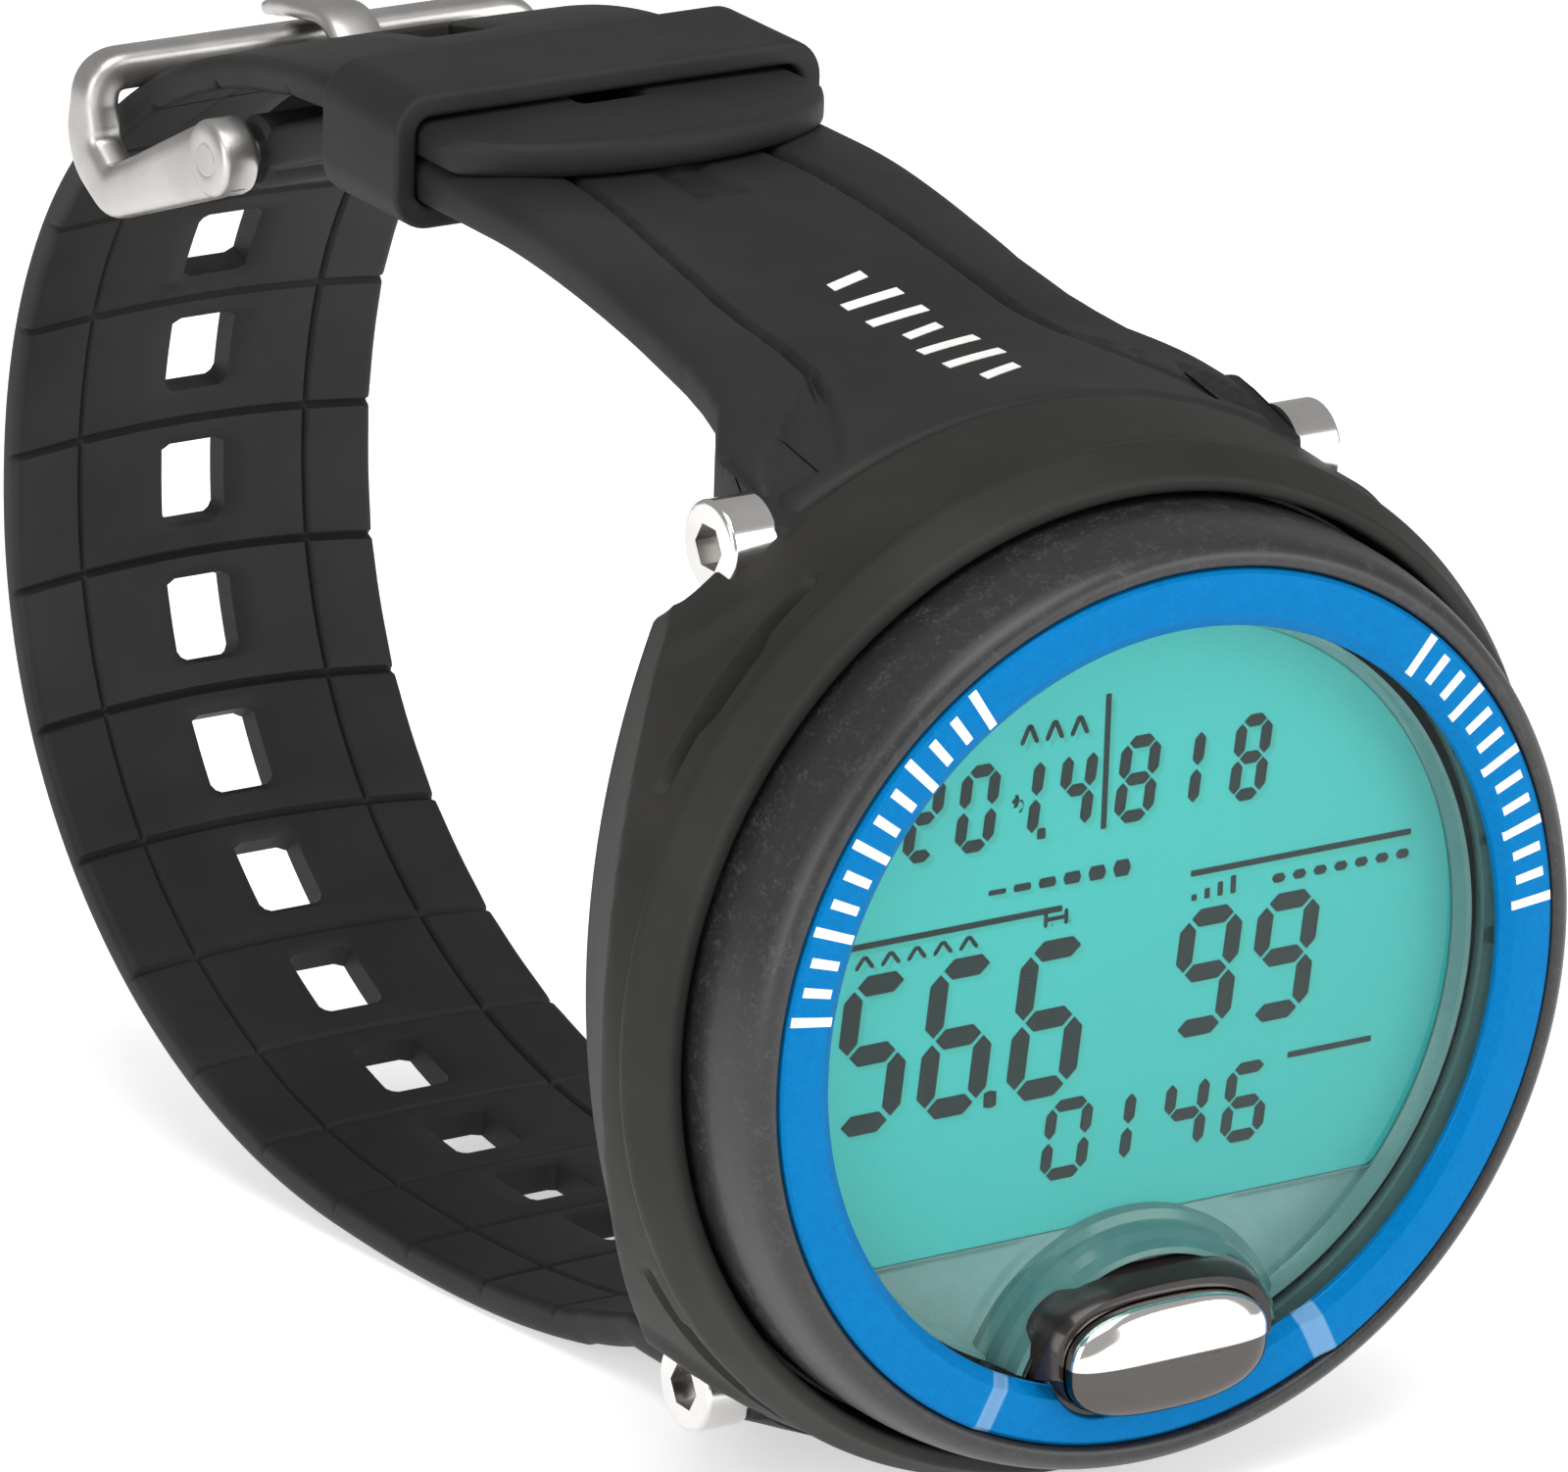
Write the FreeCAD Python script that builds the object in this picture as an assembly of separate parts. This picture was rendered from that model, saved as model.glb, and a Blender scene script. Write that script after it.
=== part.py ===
# Wrist dive computer with a closed rubber strap.
#
# Frame: the origin is the centre of the case back's outer face, where the computer rests on
# the wrist. The face looks along -Y, 12 o'clock is +Z and 3 o'clock is +X, so the strap's
# loop lies on the +Y side. "depth" is how far a plane lies behind the front of the trim ring.
import FreeCAD, Part
import math
import os

V = FreeCAD.Vector
os.makedirs("parts", exist_ok=True)

# ---- case, overall ------------------------------------------------------------------------
CASE_DEPTH = 23.0           # trim ring's front to case back
CASE_R = 29.0               # hard case, outside
CASE_REAR_R = CASE_R - 3.7  # the same, at the back, where the case tapers towards the wrist
TAPER_DEPTH = 11.5          # depth at which the case starts to taper
CASE_FRONT = 9.0            # depth of the case's shoulder, which the bezel stands on
CASE_BACK_THICK = 2.0
FRONT_CAVITY_R = CASE_R - 6.0
REAR_CAVITY_R = CASE_REAR_R - 5.3
BACK_SEAL_START = 0.5       # the back's gasket groove, from the cavity
BACK_SEAL_END = 1.5
BACK_SEAL_DEEP = 0.6
BACK_SCREW_R = 0.8
BACK_SCREW_HEAD_R = 1.35
BACK_SCREW_LENGTH = 7.0
BACK_EDGE_GAP = 0.3         # round the case back, inside the shroud's rear edge
LEDGE_DEPTH = 14.4          # the circuit board's ledge, where the cavity narrows
FIT_GAP = 0.05              # radial clearance of parts that are assembled and stay put
RUN_GAP = 0.06              # radial clearance of parts that turn or slide
FREE_GAP = 0.3              # clearance between moving parts that don't guide each other

# ---- bezel, trim ring, crystal --------------------------------------------------------------
TRIM_R = CASE_R - 2.5
TRIM_WINDOW_R = FRONT_CAVITY_R
TRIM_THICK = 0.9
TRIM_BEVEL = 0.9            # width of the slope down to the window
TRIM_CHAMFER = 0.25
RAMP_ANGLE = 27.0           # the two ramp facets, each side of 6 o'clock
RAMP_WIDTH = 1.6
BEZEL_WALL = 2.3            # beyond the trim ring and its gap, at the bezel's widest
CRYSTAL_R = CASE_R - 4.0
CRYSTAL_THICK = 2.2
GASKET_THICK = 0.8
GASKET_WIDTH = 1.2
NECK_WALL = 2.2             # the case's neck inside the bezel

# ---- rubber shroud --------------------------------------------------------------------------
SHROUD_WALL = 3.4
SHROUD_REAR_WALL = 0.9      # of the wings at the sides, at the back
WING_CENTRE = 30.0          # how far across the case the wings' tapered sides are centred
SHROUD_LIP_DEPTH = 5.95
SHROUD_FOOT = 0.4
SHROUD_LIP_WALL = 0.9
SHROUD_LIP_GAP = 0.5
STRAP_JOINT_DEPTH = 15.5    # where the strap's ends meet the shroud
SLIT_DEPTH = 11.0
SLIT_THICK = 0.8
SLIT_HALF_ANGLE = 17.0
SLIT_MIDDLE = 41.0          # from 9 or 3 o'clock

# ---- button -----------------------------------------------------------------------------------
BUTTON_Z = 8.3 - CASE_R
BUTTON_W = 13.6
BUTTON_H = 6.9
BUTTON_PROUD = 2.1
BUTTON_SKIRT_DEPTH = 2.0
BUTTON_TOP_THICK = 1.2
BUTTON_TRAVEL = 1.2
BUTTON_ROUND = 0.7
COLLAR_WALL = 1.1
COLLAR_FLOOR_DEPTH = 4.2
COLLAR_BACK_DEPTH = 8.6
NOTCH_R = BUTTON_W / 2 + 2.5               # rounded notch in the crystal, filled by the collar's plate
NOTCH_Z = BUTTON_Z - 4.1
STEM_R = 1.5
STEM_END_DEPTH = 10.6
SPRING_WIRE_R = 0.22
SPRING_R = 2.3
SPRING_TURNS = 4
SPRING_STEPS = 12

# ---- display and electronics --------------------------------------------------------------------
LCD_R = FRONT_CAVITY_R - 0.7
LCD_DEPTH = 4.2
LCD_THICK = 1.6
LCD_FLAT_Z = BUTTON_Z + 6.7
GUIDE_THICK = 1.5
BOARD_THICK = 1.2
ZEBRA_HEIGHT = 1.6
ZEBRA_LENGTH = 26.0
CHIP_THICK = 0.9
BOARD_SCREW_HEAD_R = 1.1
SENSOR_R = 1.9
SENSOR_COVER_R = 2.35
SENSOR_COVER_THICK = 0.9

# ---- battery ------------------------------------------------------------------------------------
CELL_R = 12.25
CELL_THICK = 3.0
WELL_WALL = 1.0
COVER_FLANGE_WIDTH = 1.3
COVER_THICK = 1.2
COVER_PLUG = 1.4
COIN_SLOT_W = 2.0
COIN_SLOT_LENGTH = 8.0       # of each half, either side of a plain middle
COIN_SLOT_START = 2.2
COIN_SLOT_DEEP = 0.6

STRAP_W = 26.6

# ---- strap lugs and screws ------------------------------------------------------------------------
HINGE_FROM_BACK = 4.8       # hinge axis in front of the case back
HINGE_Z = CASE_R - 3.2
LUG_HALF = STRAP_W / 2 + 0.2
LUG_R = 2.7
LUG_FLAT_Z = CASE_R - 5.8           # flats on the case, under the strap's ends
TUBE_R = 1.9
SCREW_R = 1.5
SCREW_LENGTH = 11.0
SCREW_HEAD_R = 2.75
SCREW_HEAD_H = 3.0
SCREW_HEX_R = 1.44          # corner radius of the 2.5 mm socket
CHEEK_HALF = STRAP_W / 2 + 4.6           # half width over the strap's cheeks
CHEEK_R = 3.4
BUSH_WALL = 0.5

# ---- strap --------------------------------------------------------------------------------------
STRAP_T = 2.2               # holed strap
STRAP_T_BUCKLE = 2.6        # buckle strap
LOOP_MID_Y = 49.0           # where the loop is tallest
LOOP_REACH = 42.4           # from there to the loop's far end, inside
LOOP_REACH_CASE = 67.0      # the same, towards the case, along the underside
LOOP_LOW = 34.3             # inside half height, below
LOOP_HIGH = 35.8            # inside half height, above
LOOP_SHIFT_Z = -0.5
LOOP_POWER = 2.13           # exponent of the loop's superellipse
END_STEP = 0.15             # step where a moulded end meets the plain band
END_LAP = 1.0               # the band runs this far into the moulded end
TAIL_TIP_Y = 32.3
TIP_LENGTH = 6.4            # of the tail's elliptical end
HOLE_PITCH = 9.0
HOLE_W = 4.6
HOLE_L = 5.9
HOLE_FROM_START = 5.5       # least distance of a hole's centre from the plain end
HOLE_FROM_TIP = 6.5         # the same, from the tip
GROOVE_W = 0.5
GROOVE_D = 0.4
BUCKLE_PIN_Y = 61.0
BUCKLE_PIN_Z = LOOP_HIGH + LOOP_SHIFT_Z - 5.1
BARREL_R = 2.3

# ---- buckle and keeper ------------------------------------------------------------------------------
PIN_R = 0.9
ARM_R = 1.75
ARM_THICK = 2.6
ARM_GAP = 0.8
BAR_R = 1.3
BAR_ANGLE = 143.0           # where the crossbar lies on the loop, from the loop's bottom
BAR_GAP = 0.15
TONGUE_W = 3.6
TONGUE_R = 0.75
TONGUE_EYE_R = 1.9
TONGUE_BELOW = 2.55         # the tongue's low bend, under the strap's inner face
TONGUE_ABOVE = 1.77         # its high bend, over the outer face
LOW_BEND_SHARE = 0.398      # where the bends and the hole lie between pin and crossbar
HOLE_SHARE = 0.518
HIGH_BEND_SHARE = 0.711
HEEL_DROP = 3.6             # the buckle arms' lowest bends, below the pin
KNEE_DROP = 6.0
KNEE_BACK = 3.3
KEEPER_Y = 45.3
KEEPER_W = 9.0
KEEPER_WALL = 1.5
KEEPER_GAP = 0.25


def at(depth):
    """Y of a plane that lies this far behind the trim ring's front."""
    return depth - CASE_DEPTH


def disc(radius, y0, y1, x=0.0, z=0.0):
    return Part.makeCylinder(radius, y1 - y0, V(x, y0, z), V(0, 1, 0))


def tube(r_in, r_out, y0, y1, x=0.0, z=0.0):
    return disc(r_out, y0, y1, x, z).cut(disc(r_in, y0 - 1, y1 + 1, x, z))


def rod_x(radius, x0, x1, y, z):
    return Part.makeCylinder(radius, x1 - x0, V(x0, y, z), V(1, 0, 0))


def block(x0, x1, y0, y1, z0, z1):
    return Part.makeBox(x1 - x0, y1 - y0, z1 - z0, V(x0, y0, z0))


def turned(profile):
    """A solid of revolution about Y from (radius, y) points."""
    points = [V(r, y, 0) for r, y in profile]
    face = Part.Face(Part.makePolygon(points + points[:1]))
    return face.revolve(V(0, 0, 0), V(0, 1, 0), 360)


def fused(shapes):
    return shapes[0].multiFuse(shapes[1:]).removeSplitter() if len(shapes) > 1 else shapes[0]


def group(shapes):
    return Part.makeCompound(shapes)


def stadium(width, height, y0, y1, z):
    """A prism along Y with a long round-ended outline, centred on x = 0."""
    r = height / 2.0
    half = width / 2.0 - r
    return fused([
        block(-half, half, y0, y1, z - r, z + r),
        disc(r, y0, y1, -half, z),
        disc(r, y0, y1, half, z),
    ])


def mirrored_z(shape):
    return shape.mirror(V(0, 0, 0), V(0, 0, 1))


def mirrored_x(shape):
    return shape.mirror(V(0, 0, 0), V(1, 0, 0))


def save(name, shape):
    shape.exportStep("parts/" + name + ".step")


# ---- planes and radii that follow from the sizes above --------------------------------------------
CRYSTAL_FRONT = at(TRIM_THICK)
CRYSTAL_BACK = CRYSTAL_FRONT + CRYSTAL_THICK
NECK_TOP = CRYSTAL_BACK + GASKET_THICK
SHOULDER = at(CASE_FRONT)
CASE_REAR = -CASE_BACK_THICK
TAPER_START = at(TAPER_DEPTH)
BACK_R = CASE_REAR_R - BACK_EDGE_GAP
LEDGE = at(LEDGE_DEPTH)
NECK_R = FRONT_CAVITY_R + NECK_WALL
BEZEL_BORE = max(NECK_R, CRYSTAL_R) + FIT_GAP
BEZEL_R = TRIM_R + BEZEL_WALL
SHROUD_R = CASE_R + SHROUD_WALL
STRAP_END_R = SHROUD_R      # the strap's ends carry on the shroud's surface
HINGE_Y = -HINGE_FROM_BACK
JOINT_Y = at(STRAP_JOINT_DEPTH)
BOARD_FRONT = LEDGE - BOARD_THICK
LCD_FRONT = at(LCD_DEPTH)
LCD_BACK = LCD_FRONT + LCD_THICK
GUIDE_FRONT = LCD_BACK + FIT_GAP
GUIDE_BACK = GUIDE_FRONT + GUIDE_THICK
COLLAR_FRONT = at(0.0) - BUTTON_PROUD + 1.2
COLLAR_FLOOR = at(COLLAR_FLOOR_DEPTH)
COLLAR_BACK = at(COLLAR_BACK_DEPTH)
COLLAR_W = BUTTON_W + 2 * (RUN_GAP + COLLAR_WALL)
COLLAR_H = BUTTON_H + 2 * (RUN_GAP + COLLAR_WALL)
BUTTON_FRONT = at(0.0) - BUTTON_PROUD
WELL_R = CELL_R + FREE_GAP + 0.3
FLANGE_R = WELL_R + COVER_FLANGE_WIDTH
CELL_FRONT = -COVER_THICK - COVER_PLUG - FREE_GAP - CELL_THICK
WELL_FLOOR = CELL_FRONT - 1.1


def notch(radius, y0, y1):
    return disc(radius, y0, y1, 0, NOTCH_Z)


# ---- case ------------------------------------------------------------------------------------------
def mid_case():
    body = turned([
        (FRONT_CAVITY_R, NECK_TOP), (NECK_R, NECK_TOP), (NECK_R, SHOULDER), (CASE_R, SHOULDER),
        (CASE_R, TAPER_START), (CASE_REAR_R, CASE_REAR), (REAR_CAVITY_R, CASE_REAR),
        (REAR_CAVITY_R, LEDGE), (FRONT_CAVITY_R, LEDGE),
    ])
    cuts = [tube(REAR_CAVITY_R + BACK_SEAL_START, REAR_CAVITY_R + BACK_SEAL_END,
                 CASE_REAR - BACK_SEAL_DEEP, CASE_REAR + 1)]
    pocket = block(-CHEEK_HALF - 0.4, CHEEK_HALF + 0.4, JOINT_Y - 0.9, 1, LUG_FLAT_Z, CASE_R + 5)
    cuts += [pocket, mirrored_z(pocket), notch(NOTCH_R, NECK_TOP - 1, COLLAR_BACK)]
    cuts += [disc(BACK_SCREW_R + FIT_GAP, -BACK_SCREW_LENGTH - 1, CASE_REAR + 1, x, z)
             for x, z in back_screw_places()]
    cuts += [disc(0.65, LEDGE - 1, LEDGE + 4, x, z) for x, z in board_screw_places()]
    body = body.cut(fused(cuts))
    web = block(-LUG_HALF, LUG_HALF, HINGE_Y - LUG_R, HINGE_Y + LUG_R, REAR_CAVITY_R + 1.6, HINGE_Z)
    lug = fused([web, rod_x(LUG_R, -LUG_HALF, LUG_HALF, HINGE_Y, HINGE_Z)])
    lug = lug.cut(disc(REAR_CAVITY_R + 1.6, -CASE_DEPTH, 1))
    bore = rod_x(TUBE_R + FIT_GAP / 2, -LUG_HALF - 1, LUG_HALF + 1, HINGE_Y, HINGE_Z)
    lug = lug.cut(bore)
    return fused([body, lug, mirrored_z(lug)]).cut(fused([bore, mirrored_z(bore)]))


def back_screw_places():
    radius = (REAR_CAVITY_R + BACK_SEAL_END + BACK_R) / 2.0
    angle = math.radians(25)
    return [(sx * radius * math.cos(angle), sz * radius * math.sin(angle))
            for sx in (-1, 1) for sz in (-1, 1)]


def board_screw_places():
    radius = FRONT_CAVITY_R - BOARD_SCREW_HEAD_R - FIT_GAP
    return [(radius * math.cos(math.radians(a)), radius * math.sin(math.radians(a)))
            for a in (30, 150, 215, 325)]


def bezel_ring():
    body = turned([
        (BEZEL_BORE, SHOULDER), (BEZEL_BORE, CRYSTAL_FRONT), (TRIM_R + FIT_GAP, CRYSTAL_FRONT),
        (TRIM_R + FIT_GAP, at(0.15)), (TRIM_R + 0.35, at(0.0)), (BEZEL_R - 1.35, at(0.1)),
        (BEZEL_R - 0.95, at(0.4)), (BEZEL_R - 0.7, at(0.9)), (BEZEL_R - 0.35, at(2.2)),
        (BEZEL_R - 0.1, at(3.8)), (BEZEL_R, at(5.6)), (BEZEL_R, SHOULDER),
    ])
    return body


def trim_ring():
    front = at(0.0)
    body = turned([
        (TRIM_WINDOW_R, CRYSTAL_FRONT), (TRIM_WINDOW_R, front + 0.5),
        (TRIM_WINDOW_R + TRIM_BEVEL, front), (TRIM_R - TRIM_CHAMFER, front),
        (TRIM_R, front + TRIM_CHAMFER), (TRIM_R, CRYSTAL_FRONT),
    ])
    gap = stadium(COLLAR_W + 0.1, COLLAR_H + 0.1, front - 1, CRYSTAL_FRONT + 1, BUTTON_Z)
    cuts = [gap]
    for side in (-1, 1):
        ramp = block(-RAMP_WIDTH / 2, RAMP_WIDTH / 2, front - 1, front + 0.25, -TRIM_R - 1,
                     -TRIM_WINDOW_R + 1)
        ramp.rotate(V(0, 0, 0), V(0, 1, 0), side * RAMP_ANGLE)
        cuts.append(ramp)
    return body.cut(fused(cuts))


def crystal():
    body = disc(CRYSTAL_R, CRYSTAL_FRONT, CRYSTAL_BACK)
    return body.cut(notch(NOTCH_R, CRYSTAL_FRONT - 1, CRYSTAL_BACK + 1))


def crystal_gasket():
    inner = CRYSTAL_R - GASKET_WIDTH
    body = tube(inner, CRYSTAL_R, CRYSTAL_BACK, NECK_TOP)
    around = tube(NOTCH_R, NOTCH_R + GASKET_WIDTH, CRYSTAL_BACK, NECK_TOP, 0, NOTCH_Z)
    around = around.common(disc(CRYSTAL_R, CRYSTAL_BACK, NECK_TOP))
    return fused([body.cut(notch(NOTCH_R, CRYSTAL_BACK - 1, NECK_TOP + 1)), around])


def case_back():
    body = disc(BACK_R, CASE_REAR, 0)
    body = body.common(block(-CASE_R, CASE_R, CASE_REAR, 0, -LUG_FLAT_Z + 0.3, LUG_FLAT_Z - 0.3))
    well = disc(WELL_R + WELL_WALL, WELL_FLOOR - 0.8, CASE_REAR)
    body = fused([body, well])
    cuts = [disc(FLANGE_R + RUN_GAP, -COVER_THICK, 1), disc(WELL_R, WELL_FLOOR, 1)]
    for x, z in back_screw_places():
        cuts.append(disc(BACK_SCREW_R + 2 * FIT_GAP, CASE_REAR - 1, 1, x, z))
        cuts.append(disc(BACK_SCREW_HEAD_R + 3 * FIT_GAP, -1.1, 1, x, z))
    sensor_z = sensor_place()
    cuts.append(disc(SENSOR_COVER_R + 2 * FIT_GAP, -SENSOR_COVER_THICK, 1, 0, sensor_z))
    cuts.append(disc(SENSOR_R + FIT_GAP, CASE_REAR - 1, 1, 0, sensor_z))
    for x, z in contact_places():
        cuts.append(disc(0.9, CASE_REAR - 1, 1, x, z))
    for x, z in battery_leg_places():
        cuts.append(block(x - 0.75, x + 0.75, WELL_FLOOR - 1, WELL_FLOOR + 1, z - 0.75, z + 0.75))
    return body.cut(fused(cuts))


def sensor_place():
    return -(WELL_R + WELL_WALL + REAR_CAVITY_R) / 2.0


def contact_places():
    radius = (WELL_R + WELL_WALL + REAR_CAVITY_R) / 2.0
    return [(sx * radius * math.cos(math.radians(52)), radius * math.sin(math.radians(52)))
            for sx in (-1, 1)]


def battery_leg_places():
    return [(-6.0, 0.0), (8.6, 4.5)]


def case_back_gasket():
    return tube(REAR_CAVITY_R + BACK_SEAL_START, REAR_CAVITY_R + BACK_SEAL_END,
                CASE_REAR - BACK_SEAL_DEEP, CASE_REAR)


def case_back_screws():
    out = []
    for x, z in back_screw_places():
        head = disc(BACK_SCREW_HEAD_R, -1.1, -0.1, x, z).cut(disc(0.55, -0.7, 1, x, z))
        out.append(fused([head, disc(BACK_SCREW_R, -BACK_SCREW_LENGTH, -1.1, x, z)]))
    return group(out)


# ---- shroud ------------------------------------------------------------------------------------------
def shroud_ring():
    lip = at(SHROUD_LIP_DEPTH)
    lip_in = BEZEL_R + SHROUD_LIP_GAP
    rear = CASE_REAR + 0.5
    body = turned([
        (CASE_R, SHOULDER), (lip_in, SHOULDER - 0.8), (lip_in, lip + 0.3), (lip_in + 0.3, lip),
        (lip_in + SHROUD_LIP_WALL - 0.2, lip), (lip_in + SHROUD_LIP_WALL + 0.1, lip + 0.3),
        (SHROUD_R - 1.2, lip + 2.2), (SHROUD_R - 0.5, lip + 4.6), (SHROUD_R - 0.1, lip + 7.6),
        (SHROUD_R, JOINT_Y), (SHROUD_R - 0.1, JOINT_Y + 2.2), (SHROUD_R - 1.2, rear - 0.6),
        (SHROUD_R - 2.0, rear), (CASE_REAR_R, rear), (CASE_REAR_R, CASE_REAR),
        (CASE_R, TAPER_START),
    ])
    wing = Part.makeCone(SHROUD_R + WING_CENTRE, CASE_REAR_R + SHROUD_REAR_WALL + WING_CENTRE,
                         rear - TAPER_START, V(WING_CENTRE, TAPER_START, 0), V(0, 1, 0))
    beside = block(-SHROUD_R - 1, -LUG_HALF, TAPER_START, rear, -SHROUD_R, SHROUD_R).cut(wing)
    half = CHEEK_HALF + 0.4
    ends = block(-half, half, JOINT_Y, 1, LUG_FLAT_Z - 3.2, SHROUD_R + 1)
    scallop = rod_x(CHEEK_R + 0.2, LUG_HALF, SHROUD_R + 1, HINGE_Y, HINGE_Z)
    scallops = [scallop, mirrored_x(scallop)]
    cuts = [beside, mirrored_x(beside), ends, mirrored_z(ends)]
    cuts += scallops + [mirrored_z(one) for one in scallops]
    chord = SHROUD_R * math.cos(math.radians(SLIT_HALF_ANGLE)) - 0.5
    for middle in (SLIT_MIDDLE, 180 - SLIT_MIDDLE, 180 + SLIT_MIDDLE, -SLIT_MIDDLE):
        y0 = at(SLIT_DEPTH) - SLIT_THICK / 2
        slit = block(chord, SHROUD_R + 2, y0, y0 + SLIT_THICK, -SHROUD_R, SHROUD_R)
        slit.rotate(V(0, 0, 0), V(0, 1, 0), middle)
        cuts.append(slit)
    foot = SHROUD_FOOT - SHROUD_R
    cuts.append(block(-SHROUD_R, SHROUD_R, lip - 1, JOINT_Y, foot - 2, foot))
    return body.cut(fused(cuts))


# ---- button --------------------------------------------------------------------------------------------
def button_cap():
    skirt_end = at(BUTTON_SKIRT_DEPTH)
    body = stadium(BUTTON_W, BUTTON_H, BUTTON_FRONT, skirt_end, BUTTON_Z)
    edges = [e for e in body.Edges if abs(e.CenterOfMass.y - BUTTON_FRONT) < 1e-6
             and abs(e.BoundBox.YMax - e.BoundBox.YMin) < 1e-6]
    body = body.makeFillet(min(BUTTON_ROUND, BUTTON_TOP_THICK * 0.8), edges)
    hollow = disc(SPRING_R + 0.7, BUTTON_FRONT + BUTTON_TOP_THICK, skirt_end + 1, 0, BUTTON_Z)
    stem = disc(STEM_R, BUTTON_FRONT + BUTTON_TOP_THICK - 0.1, at(STEM_END_DEPTH), 0, BUTTON_Z)
    clip_y = COLLAR_BACK + 0.1
    groove = tube(STEM_R - 0.3, STEM_R + 1, clip_y, clip_y + 0.6, 0, BUTTON_Z)
    seal_y = (COLLAR_FLOOR + COLLAR_BACK) / 2.0
    seal = tube(STEM_R - 0.4, STEM_R + 1, seal_y - 0.5, seal_y + 0.5, 0, BUTTON_Z)
    return fused([body.cut(hollow), stem]).cut(fused([groove, seal]))


def button_collar():
    plate = notch(NOTCH_R - 0.1, CRYSTAL_FRONT, COLLAR_BACK)
    plate = plate.common(disc(CRYSTAL_R - 0.1, CRYSTAL_FRONT - 1, COLLAR_BACK))
    plate = plate.cut(tube(FRONT_CAVITY_R, CRYSTAL_R + 5, NECK_TOP - 0.05, COLLAR_BACK + 1)
                      .cut(notch(NOTCH_R + 0.1, NECK_TOP - 1, COLLAR_BACK + 2)))
    rim = stadium(COLLAR_W, COLLAR_H, COLLAR_FRONT, CRYSTAL_FRONT, BUTTON_Z)
    room = stadium(BUTTON_W + 2 * RUN_GAP, BUTTON_H + 2 * RUN_GAP, COLLAR_FRONT - 1, COLLAR_FLOOR,
                   BUTTON_Z)
    bore = disc(STEM_R + RUN_GAP, COLLAR_FLOOR - 1, COLLAR_BACK + 1, 0, BUTTON_Z)
    return fused([plate, rim]).cut(fused([room, bore]))


def button_spring():
    start = BUTTON_FRONT + BUTTON_TOP_THICK + SPRING_WIRE_R
    length = COLLAR_FLOOR - SPRING_WIRE_R - start
    points = []
    for k in range(SPRING_TURNS * SPRING_STEPS + 1):
        angle = 2 * math.pi * k / SPRING_STEPS
        y = start + length * k / (SPRING_TURNS * SPRING_STEPS)
        points.append(V(SPRING_R * math.cos(angle), y, BUTTON_Z + SPRING_R * math.sin(angle)))
    path = Part.BSplineCurve()
    path.interpolate(points)
    along = path.tangent(path.FirstParameter)[0]
    profile = Part.Wire(Part.makeCircle(SPRING_WIRE_R, points[0], along))
    return Part.Wire(path.toShape()).makePipeShell([profile], True, True)


def button_oring():
    seal_y = (COLLAR_FLOOR + COLLAR_BACK) / 2.0
    return tube(STEM_R - 0.4, STEM_R, seal_y - 0.4, seal_y + 0.4, 0, BUTTON_Z)


def button_clip():
    clip_y = COLLAR_BACK + 0.15
    ring = tube(STEM_R - 0.3, STEM_R + 0.9, clip_y, clip_y + 0.5, 0, BUTTON_Z)
    mouth = block(-0.9, 0.9, clip_y - 1, clip_y + 1, BUTTON_Z - STEM_R - 2, BUTTON_Z - 0.8)
    return ring.cut(mouth)


# ---- display -------------------------------------------------------------------------------------------
def above_flat(shape, z):
    return shape.common(block(-CASE_R, CASE_R, -CASE_DEPTH - 5, 5, z, CASE_R))


def window_mask():
    body = disc(FRONT_CAVITY_R - FIT_GAP, LCD_FRONT, LCD_BACK)
    window = above_flat(disc(LCD_R + FIT_GAP, LCD_FRONT - 1, LCD_BACK + 1), LCD_FLAT_Z - FIT_GAP)
    return body.cut(fused([window, notch(NOTCH_R, LCD_FRONT - 1, LCD_BACK + 1)]))


def lcd_glass():
    return above_flat(disc(LCD_R, LCD_FRONT, LCD_BACK), LCD_FLAT_Z)


def light_guide():
    low = LCD_FLAT_Z + ZEBRA_HEIGHT + 0.4
    return above_flat(disc(LCD_R, GUIDE_FRONT, GUIDE_BACK), low)


def lcd_frame():
    low = LCD_FLAT_Z + ZEBRA_HEIGHT + 0.4
    body = above_flat(disc(LCD_R, GUIDE_BACK, BOARD_FRONT), low)
    head_room = BOARD_SCREW_HEAD_R + FREE_GAP
    inner = above_flat(disc(LCD_R - 2.2, GUIDE_BACK + 1.0, BOARD_FRONT + 1), low + 1.5)
    heads = [disc(head_room, BOARD_FRONT - 1.3, BOARD_FRONT + 1, x, z)
             for x, z in board_screw_places()]
    return body.cut(fused([inner] + heads))


def zebra_connector():
    half = ZEBRA_LENGTH / 2.0
    return block(-half, half, LCD_BACK, BOARD_FRONT, LCD_FLAT_Z + 0.2, LCD_FLAT_Z + 0.2 + ZEBRA_HEIGHT)


# ---- electronics ---------------------------------------------------------------------------------------
def circuit_board():
    body = disc(FRONT_CAVITY_R - 0.3, BOARD_FRONT, LEDGE)
    holes = [disc(0.8, BOARD_FRONT - 1, LEDGE + 1, x, z) for x, z in board_screw_places()]
    return body.cut(fused(holes))


def board_screws():
    out = []
    for x, z in board_screw_places():
        head = disc(BOARD_SCREW_HEAD_R, BOARD_FRONT - 0.9, BOARD_FRONT, x, z)
        head = head.cut(disc(0.5, BOARD_FRONT - 2, BOARD_FRONT - 0.5, x, z))
        out.append(fused([head, disc(0.6, BOARD_FRONT, LEDGE + 3, x, z)]))
    return group(out)


def on_board_front(width, height, thick, x, z):
    return block(x - width / 2, x + width / 2, BOARD_FRONT - thick, BOARD_FRONT,
                 z - height / 2, z + height / 2)


def processor_chip():
    return on_board_front(9.0, 9.0, CHIP_THICK, -6.0, 4.0)


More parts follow.
